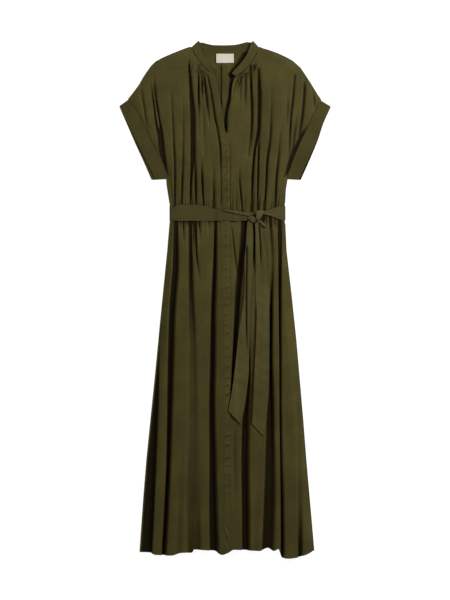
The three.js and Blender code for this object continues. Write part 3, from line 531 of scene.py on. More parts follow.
def cloth_material(name, colour, roughness=0.62, sheen=0.012, weave=0.16, thread=0.00045, slub=0.1):
    """Twill: fine slanted weave, slubs, slow patches, rubbed crowns, painted shade in folds and shadows,
    and a soft sheen.
    """
    material = bpy.data.materials.new(name)
    material.use_nodes = True
    nodes, links = material.node_tree.nodes, material.node_tree.links

    shader = nodes["Principled BSDF"]
    shader.inputs["Specular IOR Level"].default_value = 0.045
    shader.inputs["Sheen Weight"].default_value = sheen
    shader.inputs["Sheen Roughness"].default_value = 0.45
    shader.inputs["Sheen Tint"].default_value = (0.72, 0.66, 0.42, 1)

    def feed(made, inputs):
        """Sets or links inputs of a node by their names."""
        for key, value in inputs.items():
            if isinstance(value, bpy.types.NodeSocket):
                links.new(value, made.inputs[key])
            else:
                made.inputs[key].default_value = value
        return made

    def node(kind, inputs):
        return feed(nodes.new(kind), inputs)

    def wave(vector, pitch, distortion):
        return node("ShaderNodeTexWave", {
            "Vector": vector, "Scale": WAVE_PITCH / pitch, "Distortion": distortion, "Detail": 1.0,
        })

    def noise(vector, scale, detail, rough):
        inputs = {"Vector": vector, "Scale": scale, "Detail": detail, "Roughness": rough}
        return node("ShaderNodeTexNoise", inputs).outputs["Fac"]

    def ranged(value, low, high, to_low=0.0, to_high=1.0, kind="LINEAR"):
        made = node("ShaderNodeMapRange", {
            "Value": value, "From Min": low, "From Max": high, "To Min": to_low, "To Max": to_high,
        })
        made.interpolation_type = kind
        return made.outputs["Result"]

    def mixed(a, b, factor, blend="MIX"):
        made = nodes.new("ShaderNodeMix")
        made.data_type, made.blend_type = "RGBA", blend
        return feed(made, {"Factor": factor, "A": a, "B": b}).outputs["Result"]

    def tinted(red, green, blue):
        return (colour[0] * red, colour[1] * green, colour[2] * blue, 1)

    place = nodes.new("ShaderNodeTexCoord").outputs["Object"]
    slanted = node("ShaderNodeMapping", {"Vector": place, "Rotation": (0, 0, math.radians(52))})
    twill = wave(slanted.outputs["Vector"], thread, 1.2)
    twill.inputs["Detail Scale"].default_value = 2.0
    cross = wave(place, thread * 1.7, 0.8)
    cross.bands_direction = "Y"
    lengthwise = node("ShaderNodeMapping", {"Vector": place, "Scale": (1, 0.12, 1)})
    slow = noise(place, 15.0, 3.0, 0.5)
    slubs = noise(lengthwise.outputs["Vector"], 900.0, 2.0, 0.6)
    crush = noise(place, 60.0, 4.0, 0.55)

    patches = mixed(tinted(0.88, 0.85, 0.86), tinted(1.12, 1.13, 1.06), ranged(slow, 0.34, 0.66))
    fibre = mixed(patches, ranged(slubs, 0.3, 0.7, 1 - slub, 1 + slub), 1.0, "MULTIPLY")
    crown = ranged(nodes.new("ShaderNodeNewGeometry").outputs["Pointiness"], 0.53, 0.62, 0.0, 0.35)
    worn = mixed(fibre, tinted(1.5, 1.5, 1.6), crown)
    # painted shade: the mesh's attribute darkens the colour toward a dark brown in folds and under shadows
    crease_and_painted_shade = nodes.new("ShaderNodeAttribute")
    crease_and_painted_shade.attribute_name = "crease_and_painted_shade"
    painted_shade = ranged(crease_and_painted_shade.outputs["Fac"], 0.15, 0.85, 0.0, 0.94, "SMOOTHSTEP")

    threads = nodes.new("ShaderNodeMath")
    threads.operation = "MULTIPLY_ADD"
    threads.inputs[1].default_value = 0.4  # how much lower the cross threads stand
    links.new(cross.outputs["Fac"], threads.inputs[0])
    links.new(twill.outputs["Fac"], threads.inputs[2])
    soft = node("ShaderNodeBump", {"Height": crush, "Strength": 0.2, "Distance": 0.0012})
    fine = node("ShaderNodeBump", {
        "Height": threads.outputs["Value"], "Normal": soft.outputs["Normal"],
        "Strength": weave, "Distance": 0.00012,
    })
    # the base colour mixes in the painted shade
    feed(shader, {
        "Base Color": mixed(worn, tinted(0.13, 0.08, 0.06), painted_shade), "Normal": fine.outputs["Normal"],
        "Roughness": ranged(crush, 0.0, 1.0, roughness - 0.07, roughness + 0.09),
    })
    return material


OLIVE = (0.0440, 0.0372, 0.0104)
dress_cloth = cloth_material("dress_cloth_twill", OLIVE)
belt_cloth = cloth_material("belt_cloth_twill", (0.0496, 0.0422, 0.0140), roughness=0.58, sheen=0.02)
thread = cloth_material("olive_thread", (0.052, 0.045, 0.019), roughness=0.5, sheen=0.05, thread=0.0002)
label_cloth = cloth_material(
    "label_cloth_satin", (0.392, 0.377, 0.33), roughness=0.5, sheen=0.1, weave=0.1, thread=0.0003, slub=0.03
)


def keep(piece, node):
    """Hides the solid that a piece stands for."""
    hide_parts(node)


def keep_stitches(name, paths, material, **sizes):
    """Several rows of stitches as one piece."""
    points, faces, start = [], [], 0
    for path in paths:
        row_points, row_faces = stitches(path, **sizes)
        points.append(row_points)
        faces.append(row_faces + start)
        start += len(row_points)
    mesh_piece(name, np.concatenate(points), np.concatenate(faces), material, 180)


# The four fronts. A side is -1 for the wearer's right front and 1 for the left

FRONTS = {  # the folds, then the seed and the size of the slow waves
    (-1, "bodice"): (RIGHT_BODICE_FOLDS, 3, 0.55),
    (1, "bodice"): (LEFT_BODICE_FOLDS, 4, 0.55),
    (-1, "skirt"): (RIGHT_SKIRT_FOLDS, 5, 0.45),
    (1, "skirt"): (LEFT_SKIRT_FOLDS, 6, 0.45),
}
FRONT_HEM_REACH = 60  # how far above the hem its waves start
BACK_HEM_REACH = 40
# Painted shade under and beside the knot, standing for its shadow: x, y, half width, half height, depth
KNOT_SHADES = [(77, 212, 12.5, 11.5, 1), (98, 213, 12, 12, 0.85)]


def lap_lift(x, y):
    """The right front lies higher near its edge, where it laps over the left one."""
    line = placket_line(y)
    return LAP * step(line - 16, line + 2, x) * step(COLLAR_END + 4, COLLAR_END - 8, y)


def neck_crimps(x, y, side):
    """Gathers under the collar seam, fanning down."""
    left, right = (-105, -34) if side < 0 else (26, 92)
    return crimps(51 + side, x, y, left, right, 606, 60, 2.4)


def front_height(x, y, side, part):
    """Height of a front's upper face, with its folds and its gathers at the seams."""
    folds, seed, wave = FRONTS[side, part]
    left = right_side(y) if side < 0 else left_edge(y)
    right = placket_line(y) if side < 0 else left_side(y)
    z = loft(x, y) - drop_at(folds, x, y)
    if part == "bodice":
        z = z - crimps(11 + side, x, y, left, right, WAIST + 8, 75, 4.0) - neck_crimps(x, y, side)
    else:
        z = z - crimps(31 + side, x, y, left, right, WAIST - 12, 62, 2.0)
    z = settle(z + ripple(seed, x, y, left, right, wave), FLOOR + belt_lift(y))
    return z + lap_lift(x, y) if side < 0 else z


def between(left, right, level, share):
    """Grids of x and y at shares of the way between two lines, at each level."""
    x = left[:, None] + (right - left)[:, None] * share[None, :]
    return x, np.repeat(level[:, None], len(share), axis=1)


def hem_pull(y, reach):
    """How fully the hem's waves count, from 0 above their reach to 1 at the hem."""
    return np.clip((HEM + reach - y) / reach, 0, 1) ** 2


def most(*shades):
    """The deepest of several shades at each point."""
    deepest = shades[0]
    for other in shades[1:]:
        deepest = np.maximum(deepest, other)
    return deepest


def near_knot(x, y):
    """Painted shade where the cloth lies under and beside the knot, standing for its shadow."""
    found = [
        depth * bell(((x - at_x) / wide) ** 2 + ((y - at_y) / tall) ** 2, 1)
        for at_x, at_y, wide, tall, depth in KNOT_SHADES
    ]
    slant = bell((x - 60) - (y - 208), 3.4) * np.exp(-((x + y - 268) / 17) ** 4)
    return most(*found, 0.85 * slant)


def near_tails(x, y):
    """Painted shadow on what lies just below the slanted ends of the belt and left of the inner one."""
    beside = x - curve(TAIL_INNER)(y)
    found = 0.85 * bell(beside + 1.4, 1.7) * step(-110, -150, y) * step(-291, -286, y)
    for start, end in (TAIL_INNER_CUT, TAIL_OUTER_CUT):
        share = (x - start[0]) / (end[0] - start[0])
        below = start[1] + (end[1] - start[1]) * share - y
        there = step(-0.08, 0.02, share) * step(1.06, 0.98, share)
        found = most(found, 0.9 * bell(below - 1.6, 1.9) * there)
    return found


def edge_shade(x, y):
    """Painted shade on the left front where it rolls in at the neck, meets the placket and its cuff."""
    roll = 0.72 * bell(x - left_edge(y), 5.5) * step(550, 515, y) * step(425, 436, y)
    stronger_above_belt = 0.5 + 0.5 * step(200, 240, y)
    beside = 0.5 * bell(x - right_edge(y) - 1.5, 2.6) * step(428, 415, y) * stronger_above_belt
    painted_cuff_seam_shade = 0.9 * step(468, 425, y) * step(318, 332, y) * step(13, 7, left_side(y) - x)
    return most(roll, beside, painted_cuff_seam_shade, near_tails(x, y))


def front_panel(side, part):
    """One front between its two side lines, with painted shade that darkens it by how deep its folds lie,
    and beside the belt and the knot.
    """
    left, right = (right_side, right_edge) if side < 0 else (left_edge, left_side)
    if part == "bodice":
        top, bottom, columns = YOKE_SEAM - SEAM, WAIST + WAIST_GAP, BODICE_COLUMNS
    else:
        top, bottom, columns = WAIST - WAIST_GAP, HEM, SKIRT_COLUMNS
    level = np.linspace(top, bottom, int((top - bottom) / ROW_STEP))
    x, y = between(left(level), right(level), level, np.linspace(0, 1, columns))
    if part == "skirt":
        y = y + hem_pull(y, FRONT_HEM_REACH) * (front_hem(x) - HEM)
    z = front_height(x, y, side, part)
    over, under = 0.5, 0.6  # what the shade's range reaches past the cloth's own
    crown, low = loft(x, y) + over, FLOOR + belt_lift(y)
    # painted shade: the deeper a point lies below the front's crown, the darker its colour
    crease_and_painted_shade = np.clip((crown - z) / (crown - low + under), 0, 1) * step(4.5, 8, crown)
    if side > 0:
        crease_and_painted_shade = most(crease_and_painted_shade, edge_shade(x, y))
    # painted shadow along the belt's upper edge and near the knot
    painted_shade_above_belt = 0.62 * bell(y - belt_high(x), 3.5)
    crease_and_painted_shade = most(crease_and_painted_shade, painted_shade_above_belt, near_knot(x, y))
    name = part + ("_right" if side < 0 else "_left")
    piece = shell("cloth_" + name, np.stack([x, y, z], axis=-1), dress_cloth, crease_and_painted_shade=crease_and_painted_shade)
    keep(piece, "front_" + name)


for side, part in FRONTS:
    front_panel(side, part)


# The placket, a strip on the right front's edge

PUCKERS = [  # level, and how strongly the stitching draws the strip in there
    (588, 0.5), (425, 0.6), (400, 0.9), (250, 0.9), (205, 0.8), (0, 1), (-150, 0.9), (-200, 1.4),
    (-245, 1.3), (-262, 0.5), (-338, 0.5), (-350, 1.5), (-405, 1.4), (-420, 0.9), (-490, 0.9),
    (-520, 0.5), (-652, 0.5),
]
pucker_power = straight(PUCKERS)


def pucker(share, y):
    """Small ridges across the placket, where the stitching draws it in, from 0 up."""
    beat = np.sin(y / 4.1 - 2.2 * share + 1.1 * np.sin(y / 37) + 0.8 * np.sin(y / 11.3))
    return np.exp(3.5 * (beat - 1)) * pucker_power(y) * bell(share - 0.6, 0.38)


def bunching(x, y):
    """Slanting wrinkles over the waist and by the hem, from -1 to 1."""
    upper = np.sin((y - 1.6 * x) / 5.2 + np.sin(y / 29))
    lower = np.sin((y + 2.1 * x) / 4.6 + 1.6 * np.sin(y / 13 + x / 9))
    over_waist = step(420, 380, y) * step(228, 250, y)
    by_hem = step(-572, -596, y) * step(-650, -636, y)
    return upper * over_waist + lower * by_hem


def placket_height(x, y):
    base = np.where(y > WAIST, front_height(x, y, -1, "bodice"), front_height(x, y, -1, "skirt"))
    line, edge = placket_line(y), right_edge(y)
    share = (x - line) / np.maximum(edge - line, 1)
    rise = 0.1 + 0.8 * step(0, 0.16, share)
    wrinkle = bunching(x, y) * np.sin(np.clip(share, 0, 1) * math.pi)
    return base + rise + 1.7 * pucker(share, y) + wrinkle


def placket():
    level = np.linspace(COLLAR_END, HEM, 620)
    share = np.linspace(0, 1, 13)
    line, edge = placket_line(level), right_edge(level)
    x, y = between(line, edge, level, share)
    y = y + hem_pull(y, FRONT_HEM_REACH) * (front_hem(x) - HEM)
    below_ridge = pucker(share[None, :], y + 3.5) - 0.3 * pucker(share[None, :], y)
    in_wrinkle = step(0.2, 1, -bunching(x, y)) * np.sin(share * math.pi)[None, :]
    beside_fold = bell(x + 10, 3) * step(426, 405, y) * step(226, 240, y)
    # painted shade below the puckers' ridges, in the wrinkles, beside the fold and below the belt's ends
    crease_and_painted_shade = most(
        0.52 * np.clip(below_ridge, 0, 1), 0.42 * in_wrinkle, 0.62 * beside_fold, near_tails(x, y),
    )
    grid = np.stack([x, y, placket_height(x, y)], axis=-1)
    keep(shell("cloth_placket", grid, dress_cloth, crease_and_painted_shade=crease_and_painted_shade), "placket")
    paths = []
    for x in (line + 1.6, edge - 2.2):
        path = np.stack([x, level, placket_height(x, level) + 0.08], axis=1)
        paths.append(path[(level < 575) & (level > HEM + 8)])
    keep_stitches("placket_stitches", paths, thread)


placket()


# The yokes and the back

PLEAT = {"left": -7.6, "right": 10, "rise": 4.0, "top": 616, "bottom": 300}
BACK_TOP = 640
LABEL = (-22.0, 23.4, 640.6, 617)  # left, right, upper edge, lower edge


def yoke(name, left, right, folds, side):
    """The front end of the shoulder yoke, drawn down where the folds start under its seam."""
    level = np.linspace(658, YOKE_SEAM - SEAM, 26)
    x, y = between(left(level), right(level), level, np.linspace(0, 1, 90))
    seam = np.full(np.shape(x), YOKE_SEAM - SEAM)
    pull = 0.85 * np.exp(-(y - YOKE_SEAM) / 7)
    z = loft(x, y) - pull * (drop_at(folds, x, seam) + neck_crimps(x, seam, side))
    z = z + 0.25 * np.sin(x / 9 + y / 17) * step(YOKE_SEAM, YOKE_SEAM + 12, y)
    keep(shell("cloth_" + name, np.stack([x, y, settle(z, FLOOR)], axis=-1), dress_cloth), name)


def tuck(y):
    """How far the yokes reach under the collar at the shoulder."""
    return 3.6 * step(641, 650, y) - SEAM


yoke("yoke_right", right_side, lambda y: right_edge(y) + tuck(y), RIGHT_BODICE_FOLDS, -1)
yoke("yoke_left", lambda y: left_edge(y) - tuck(y), left_side, LEFT_BODICE_FOLDS, 1)


def back_height(x, y):
    left, right, top, bottom = (PLEAT[key] for key in ("left", "right", "top", "bottom"))
    across = step(left - 0.7, left + 0.3, x) * step(right + 4, right - 3, x)
    along = step(bottom, bottom + 30, y) * step(top, top - 3, y)
    wave = 0.16 * np.sin(x / 7.3 + 0.8 * np.sin(y / 41)) + 0.12 * np.sin(x / 17 + y / 53)
    return BACK - 0.25 + belt_lift(y) + PLEAT["rise"] * across * along + wave


def back_bodice():
    finer_at_neck = np.concatenate([
        np.linspace(0, 0.28, 20, endpoint=False), np.linspace(0.28, 0.72, 150, endpoint=False),
        np.linspace(0.72, 1, 21),
    ])
    level = np.linspace(BACK_TOP, WAIST + WAIST_GAP, 110)
    x, y = between(right_side(level) + SEAM, left_side(level) - SEAM, level, finer_at_neck)
    near = np.clip((y - BACK_TOP + 40) / 40, 0, 1)
    x = x + near * (np.clip(x, -112, 114) - x)
    y = y + near * (back_neck(x) + 1.2 - BACK_TOP)
    # painted shade: the back a little darker overall, with painted shadows beside the pleat's left edge,
    # beside the collar and the left front's edge, and left of the label
    pleat_shadow = bell(x - PLEAT["left"] + 0.9, 0.9) * step(PLEAT["top"], PLEAT["top"] - 4, y)
    beside = straight(NECK_SHADE)(y) - x
    reach = 7 + 6 * step(480, 650, y)
    painted_back_shade = 0.34 - 0.1 * step(640, 600, y) + 0.3 * pleat_shadow
    painted_back_shade = painted_back_shade + 0.6 * step(1.5 * reach, 0.5 * reach, beside)
    label_shadow = 0.95 * bell(x - LABEL[0] + 2.2, 1.6) * step(616, 620, y) * step(638, 632, y)
    grid = np.stack([x, y, back_height(x, y)], axis=-1)
    crease_and_painted_shade = most(painted_back_shade, label_shadow)
    keep(shell("cloth_back_bodice", grid, dress_cloth, crease_and_painted_shade=crease_and_painted_shade), "back_bodice")


def back_skirt():
    level = np.linspace(WAIST - WAIST_GAP, HEM, 190)
    x, y = between(right_side(level) + SEAM, left_side(level) - SEAM, level, np.linspace(0, 1, 110))
    y = y + hem_pull(y, BACK_HEM_REACH) * (back_hem(x) - HEM)
    grid = np.stack([x, y, back_height(x, y)], axis=-1)
    keep(shell("cloth_back_skirt", grid, dress_cloth), "back_skirt")


back_bodice()
back_skirt()


# Turned strips: the collar band, the cuffs and the belt. A station is ax, ay, az, bx, by, bz

def turned(start, end, outward):
    """Rows on a rounded turn between the last rows of two layers of a strip."""
    p, q = np.reshape(start, (-1, 3)), np.reshape(end, (-1, 3))
    half = (q - p) / 2
    bulge = np.abs(half[:, 2:]) * np.asarray(outward, float)
    angles = [math.pi * i / TURN for i in range(1, TURN)]
    rows = [(p + q) / 2 - half * math.cos(angle) + bulge * math.sin(angle) for angle in angles]
    return np.reshape(rows, (TURN - 1, *np.shape(start)))


def strip_grid(stations, parts):
    """Points across a strip, at even steps between the two ends of each station."""
    stations = np.asarray(stations, float)
    share = np.linspace(0, 1, parts)[None, :, None]
    return stations[:, None, :3] * (1 - share) + stations[:, None, 3:] * share


def collar_station(row, front):
    """A station of the collar band, from its seam to its upper edge."""
    seam_x, seam_y, top_x, top_y = row
    if not front:
        return [seam_x, seam_y, BAND / 2, top_x, top_y, BAND / 2]
    above_front, inset, stands = 0.9, 0.9, 3.6
    base = float(loft(seam_x, seam_y)) + above_front
    width = math.hypot(top_x - seam_x, top_y - seam_y)
    in_x, in_y = (top_x - seam_x) / width * inset, (top_y - seam_y) / width * inset
    return [seam_x + in_x, seam_y + in_y, base, top_x, top_y, base + stands]


def collar():
    right_count, back_count, left_count = 46, 70, 50
    right = [collar_station(row, True) for row in COLLAR_RIGHT]
    left = [collar_station(row, True) for row in COLLAR_LEFT]
    middle = [collar_station(row, False) for row in COLLAR_BACK]
    right_crease = collar_station(COLLAR_RIGHT[-1], False)
    left_crease = collar_station(COLLAR_LEFT[0], False)
    stations = [
        *resampled(right, right_count), *turned(right[-1], right_crease, (-0.62, 0.78, 0)),
        *resampled([right_crease, *middle, left_crease], back_count),
        *turned(left_crease, left[0], (0.65, 0.76, 0)), *resampled(left, left_count),
    ]
    grid = strip_grid(stations, 9)
    crease_and_painted_shade = np.zeros(grid.shape[:2])
    back_start = right_count + TURN - 1
    # painted shade on the band's back part, inside the neck
    crease_and_painted_shade[back_start:back_start + back_count] = 0.35
    piece = shell("cloth_collar_band", grid, dress_cloth, thickness=BAND, middle=True, crease_and_painted_shade=crease_and_painted_shade)
    keep(piece, "collar_band")
    normal = normals_of(grid)
    upward = np.sign(normal[:right_count].mean(axis=(0, 1))[2])
    top = grid + normal * upward * (BAND / 2 + 0.05)
    fronts = slice(0, right_count - 2), slice(len(stations) - left_count + 2, len(stations))
    keep_stitches("collar_stitches", [
        top[front, 0] * (1 - share) + top[front, -1] * share for share in (0.14, 0.88) for front in fronts
    ], thread)


collar()


def cuff(node, table, side):
    """A flattened ring at the sleeve's end, from its front layer round to its back one."""
    seam_away, back_longer = side * -1.6, 11 if side < 0 else 5
    low, high, parts = CUFF / 2, 2 * CUFF + 1, 11
    fine = resampled([(a, b, 0, c, d, e) for a, b, c, d, e in table], 60)
    count = len(fine)
    seam_x = (left_side if side > 0 else right_side)(fine[:, 1]) + seam_away
    share = np.linspace(0, 1, count)
    lift = 3.2 * np.sin(share * math.pi) if side > 0 else 0
    bow = 0.5 * np.sin(share * math.pi * 3.2) * np.sin(share * math.pi)
    front = np.stack([
        seam_x, fine[:, 1], high + fine[:, 5] + bow * 0.6,
        fine[:, 3], fine[:, 4], high + fine[:, 5] / 2 + bow + lift,
    ], axis=1)
    back = np.stack([
        seam_x, fine[:, 1], np.full(count, low),
        fine[:, 3] + side * back_longer * share ** 0.7, fine[:, 4], np.full(count, low),
    ], axis=1)
    grid = strip_grid([
        *front, *turned(front[-1], back[-1], (0, -1, 0)),
        *back[::-1], *turned(back[0], front[0], (-side * 0.3, 0.95, 0)),
    ], parts)
    across, along = np.linspace(0, 1, parts)[None, :], share[:, None]
    grid[:count, :, 2] += 0.35 * np.sin(17 * along + side * 5 * across + 1) * np.sin(math.pi * across)
    crease_and_painted_shade = np.zeros(grid.shape[:2])
    # painted shade: the front layer darker overall and along its seam, and on the left cuff a painted
    # shadow on the back layer's edge beyond the front
    crease_and_painted_shade[:count] = most(0.5 * bell(across, 0.07), 0.33)
    if side > 0:
        back_start = count + TURN - 1
        under = 0.9 * step(0.7, 0.8, across) * step(0.25, 0.5, along[::-1])
        crease_and_painted_shade[back_start:back_start + count] = under
    piece = shell("cloth_" + node, grid, dress_cloth, thickness=CUFF, ring=True, middle=True, crease_and_painted_shade=crease_and_painted_shade)
    keep(piece, node)
    above = np.array([0, 0, CUFF / 2 + 0.1])
    keep_stitches("cloth_" + node + "_stitches", [
        (front[:, :3] * (1 - part) + front[:, 3:] * part + above)[2:-2] for part in (0.06, 0.9)
    ], thread)


cuff("cuff_right", CUFF_RIGHT, -1)
cuff("cuff_left", CUFF_LEFT, 1)


# The belt, its knot and its two ends

def cover(x, y):
    """Height of what the belt lies on, with the placket."""
    on_placket = step(-28, -14, x) * (1 - step(25, 37, x))
    return loft(x, y) + (LAP + SEAM + PLACKET) * on_placket


def belt_top(x):
    return cover(x, np.full(np.shape(x), float(WAIST))) + OVER + BELT


def belt_crease(x, t):
    """Lengthwise creases where the belt narrows toward the knot."""
    strong = 0.75 * bell(x - 78, 46) * np.sin(2 * math.pi * (1.6 * t + x / 150))
    soft = 0.22 * np.sin(x / 13 + 2.2 * t)
    return (strong + soft) * np.sin(math.pi * t)


def belt():
    """The band round the waist, from its front layer round to its back one."""
    right_end, left_end = -140.5, 154.5
    t = np.linspace(0, 1, 19)
    x = np.repeat(np.linspace(right_end, left_end, 150)[:, None], len(t), axis=1)
    y = belt_high(x) * (1 - t) + belt_low(x) * t
    front = np.stack([x, y, belt_top(x) - BELT / 2 + belt_crease(x, t)], axis=-1)
    x = np.repeat(np.linspace(left_end, right_end, 60)[:, None], len(t), axis=1)
    y = np.broadcast_to((BELT_HIGH - 2) * (1 - t) + (BELT_LOW + 1) * t, x.shape)
    back = np.stack([x, y, np.full(x.shape, BELT / 2)], axis=-1)
    grid = np.concatenate([
        front, turned(front[-1], back[0], (1, 0, 0)), back, turned(back[-1], front[0], (-1, 0, 0)),
    ])
    x, y = grid[..., 0], grid[..., 1]
    # painted shade: a shadow line under the fold, a soft shade below it, the belt darker toward the
    # wearer's right of the knot, and the knot's shadow
    under_fold = y - curve(BELT_FOLD, 2)(x) + 1.3
    painted_fold_shadow = 0.95 * bell(under_fold, 1.7) * step(-16, 4, x) * step(66, 60, x)
    soft = 0.3 * bell(under_fold + 5, 3) * bell(x - 10, 14)
    painted_shade_right_of_knot = 0.38 * step(95, 50, x)
    crease_and_painted_shade = most(painted_fold_shadow, soft, painted_shade_right_of_knot, near_knot(x, y)) * (grid[..., 2] > 4)
    piece = shell("cloth_belt", grid, belt_cloth, thickness=BELT, ring=True, middle=True, crease_and_painted_shade=crease_and_painted_shade)
    keep(piece, "belt")
    paths = []
    for share in (0.06, 0.94):
        for start, end in ((-132, 55), (98, 147)):
            at = np.linspace(start, end, 90)
            y = belt_high(at) * (1 - share) + belt_low(at) * share
            paths.append(np.stack([at, y, belt_top(at) + belt_crease(at, share) + 0.1], axis=1))
    keep_stitches("belt_stitches", paths, thread, size=(1.7, 0.4, 0.25))


belt()


def tape(node, rows, wrinkle):
    """A small curved piece of the belt. A row is x, upper y, lower y, height, crown."""
    fine = resampled([(a, b, 0, c, d, e) for a, b, c, d, e in rows], 40)
    x, high, low, height, crown = (fine[:, i:i + 1] for i in (0, 1, 3, 4, 5))
    t = np.linspace(0, 1, 11)[None, :]
    wave = wrinkle * np.sin(2 * math.pi * (1.5 * t + x / 40))
    y = high * (1 - t) + low * t
    z = height + (crown + wave) * np.sin(math.pi * t) + CLOTH
    grid = np.stack([np.broadcast_to(x, y.shape), y, z], axis=-1)
    keep(shell("cloth_" + node, grid, belt_cloth, thickness=CLOTH), node)


tape("belt_fold", [(x, high, low, float(belt_top(x)) + OVER, 0.5) for x, high, low in BELT_FOLD], 0.1)

BELT_LIES_AT = 8.5  # height of the dress under the knot
KNOT_BASE = BELT_LIES_AT + OVER + BELT + OVER + TAIL + SEAM


def knot_wrap():
    """The wrap of the knot: a short pillow of belt that slants, with creases along it that get painted
    shade, as its lower rim does.
    """
    wide, tall, high, waist, square = 9.6, 7.8, 5.6, 1.2, 2.8
    middle_x, middle_y, tilt = 72.3, 209.2, -0.62
    rings, around = 30, 60
    polar = math.pi * np.arange(rings + 1)[:, None] / rings
    turn = 2 * math.pi * np.arange(around)[None, :] / around
    up = np.repeat(np.cos(polar), around, axis=1)
    c, s = np.cos(turn), np.sin(turn)
    reach = np.sin(polar) * (np.abs(c) ** square + np.abs(s) ** square) ** (-1 / square)
    u, v = c * reach, s * reach
    crease_and_painted_shade = bell(v - 0.42 + 0.3 * u, 0.14) + 0.8 * bell(v + 0.3 - 0.35 * u, 0.12) * step(0.7, 0.2, u)
    dome = (high - waist) * np.abs(up) ** 0.75 * np.sign(up)
    z = np.maximum(waist + dome - 1.5 * crease_and_painted_shade * np.maximum(up, 0) - 0.6 * v, 0)
    painted_rim_shade = step(0.45, 0.1, up) * (0.1 + 0.85 * step(-0.2, 0.5, v))
    x = middle_x + wide * u * math.cos(tilt) - tall * v * math.sin(tilt)
    y = middle_y + wide * u * math.sin(tilt) + tall * v * math.cos(tilt)
    points = np.stack([x, y, KNOT_BASE + z], axis=-1).reshape(-1, 3)
    i, k = np.meshgrid(np.arange(rings) * around, np.arange(around), indexing="ij")
    a, b = i + k, i + (k + 1) % around
    faces = np.stack([a, a + around, b + around, b], axis=-1).reshape(-1, 4)
    piece = mesh_piece("cloth_knot_wrap", points, faces, belt_cloth, 180)
    # painted shade in the creases and round the lower rim
    shade(piece, np.minimum(0.8 * crease_and_painted_shade + painted_rim_shade, 1).reshape(-1))
    keep(piece, "knot_wrap")


knot_wrap()
tape("knot_strap", [
    (81.2, 230, 211, KNOT_BASE + 4.4, 0.6), (82.6, 231.6, 209, KNOT_BASE + 5.0, 1.0),
    (90, 232, 208.5, KNOT_BASE + 4.6, 1.4), (97, 231.7, 219, KNOT_BASE + 2.5, 1.0),
    (104, 230.5, 228, KNOT_BASE - 0.5, 0.4),
], 0.3)
tape("knot_corner", [
    (86, 208, 203, KNOT_BASE + 1.2, 0.8), (92, 205.8, 199, KNOT_BASE + 1.4, 1),
    (98, 201.5, 194.5, KNOT_BASE + 0.8, 0.9), (104, 195.6, 190, KNOT_BASE, 0.6),
    (109.5, 189, 187.6, KNOT_BASE - 0.8, 0),
], 0.25)


def tail_rise(x, y):
    """Height of what a hanging end lies on: the belt, then the skirt."""
    on_belt, on_skirt = belt_top(x) + OVER, cover(x, y) + OVER
    return np.maximum(on_skirt, on_skirt + (on_belt - on_skirt) * step(178, 200, y))


def tail(node, table, cut, creases, painted_margin_shade=False):
    """A hanging end of the belt, with painted shade under the knot, in the troughs of its folds that cut in
    and on its left margin where asked. Each of the creases is start, end, places, depth, half width.
    """
    level = np.linspace(table[0][0], table[-1][0], 190)
    steps = np.linspace(0, 1, 12)[1:, None]

    def edge(x, corner):
        """Points down one edge, and on to its corner."""
        points = np.stack([x, level], axis=1)
        return np.concatenate([points, points[-1] * (1 - steps) + np.array([corner]) * steps])

    a, b = edge(curve(table)(level), cut[0]), edge(curve(table, 2)(level), cut[1])
    t = np.linspace(0, 1, 25)[None, :]
    x, y = (a[:, i:i + 1] * (1 - t) + b[:, i:i + 1] * t for i in (0, 1))
    wave = 0.3 * np.sin(y / 6.3 + x / 10 + 1.4 * np.sin(y / 29)) * step(60, -20, y) * step(-330, -290, y)
    z = tail_rise(x, y) + TAIL + wave
    # painted shade: the knot's shadow, the troughs of folds that cut in, and the left margin where asked
    painted_shade = near_knot(x, y + 3)
    for start, end, place, depth, half in creases:
        run = np.clip((start - y) / (start - end), 0, 1)
        fade = step(0, 0.05, run) * step(1, 0.55, run)
        offset = (x - even(place, run)) / half
        dip = bell(offset, 1)
        z = z + abs(depth) * fade * (dip if depth > 0 else 1 - dip)
        if depth < 0:
            painted_shade = most(painted_shade, fade * np.exp(-offset ** 4))
    if painted_margin_shade:
        painted_shade = most(painted_shade, 0.95 * step(0.13, 0.06, t) * step(20, -40, y))
    piece = shell("cloth_" + node, np.stack([x, y, z], axis=-1), belt_cloth, thickness=1.0, crease_and_painted_shade=painted_shade)
    keep(piece, node)


tail("tail_inner", TAIL_INNER, TAIL_INNER_CUT, [
    (150, -190, [57.5, 56.6, 56, 56, 57, 58], -2.8, 3.2), (40, -330, [60, 40, 25], 0.8, 5),
])
tail("tail_outer", TAIL_OUTER, TAIL_OUTER_CUT, [
    (216, 60, [87, 90, 92.3, 93.5, 95], -3.0, 2.8), (190, -340, [101, 104, 98, 96], 0.8, 5),
], painted_margin_shade=True)


# The label, bare

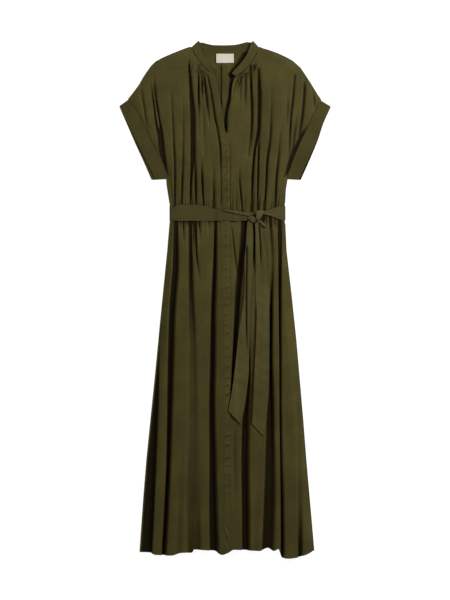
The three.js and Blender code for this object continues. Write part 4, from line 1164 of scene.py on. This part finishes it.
def label():
    left, right, high, low = LABEL
    x, y = np.meshgrid(np.linspace(left, right, 40), np.linspace(high, low, 24))
    z = BACK + SEAM + 0.8 + 0.12 * np.sin((x - left) / (right - left) * math.pi * 2.5)
    piece = shell("cloth_label", np.stack([x, y, z], axis=-1), label_cloth, thickness=0.5)
    keep(piece, "label")
    inset, lies_at = 1.6, BACK + SEAM + 1.0
    keep_stitches("label_stitches", [
        [(at, high - 1.5, lies_at), (at, low + 1.5, lies_at)] for at in (left + inset, right - inset)
    ], label_cloth, pitch=2.2, size=(1.5, 0.4, 0.3))


label()


# Floor, light and camera

def floor():
    """A pale sheet just under the dress, far wider than the picture."""
    half, below = 6.0, 0.0005
    mesh = bpy.data.meshes.new("floor")
    corners = [(-half, -half, 0), (half, -half, 0), (half, half, 0), (-half, half, 0)]
    mesh.from_pydata(corners, [], [(0, 1, 2, 3)])
    material = bpy.data.materials.new("pale_floor")
    material.use_nodes = True
    shader = material.node_tree.nodes["Principled BSDF"]
    shader.inputs["Base Color"].default_value = (0.15, 0.15, 0.15, 1)
    shader.inputs["Roughness"].default_value = 0.9
    shader.inputs["Specular IOR Level"].default_value = 0.1
    shader.inputs["Emission Color"].default_value = (1, 1, 1, 1)
    shader.inputs["Emission Strength"].default_value = 0.95
    mesh.materials.append(material)
    placed("floor", mesh, (0, 0, -below))


def placed(name, data, at):
    """A new object in the scene, at a place."""
    thing = bpy.data.objects.new(name, data)
    thing.location = at
    bpy.context.scene.collection.objects.link(thing)
    return thing


def light(name, at, size, power):
    """A square light that points at the middle of the dress."""
    lamp = bpy.data.lights.new(name, "AREA")
    lamp.shape, lamp.size, lamp.energy = "SQUARE", size, power
    placed(name, lamp, at).rotation_euler = (-Vector(at)).to_track_quat("-Z", "Y").to_euler()


def camera():
    """Straight above, so high that the 600 pixels of the photo show 1.56 m at the dress's height."""
    high, dress_height, shown = 6.0, 0.012, 1.56
    lens = bpy.data.cameras.new("camera")
    lens.lens = lens.sensor_width * (high - dress_height) / shown
    lens.clip_end = 50
    bpy.context.scene.camera = placed("camera", lens, (0.0005, -0.00065, high))


floor()
light("key", (2.1, 1.6, 2.2), size=0.8, power=148)
light("fill", (-1.8, 2.2, 2.8), size=1.4, power=60)
camera()
world = bpy.data.worlds.new("studio")
world.use_nodes = True
world.node_tree.nodes["Background"].inputs["Color"].default_value = (1, 1, 1, 1)
world.node_tree.nodes["Background"].inputs["Strength"].default_value = 0.2
bpy.context.scene.world = world
bpy.context.scene.view_settings.view_transform = "Standard"
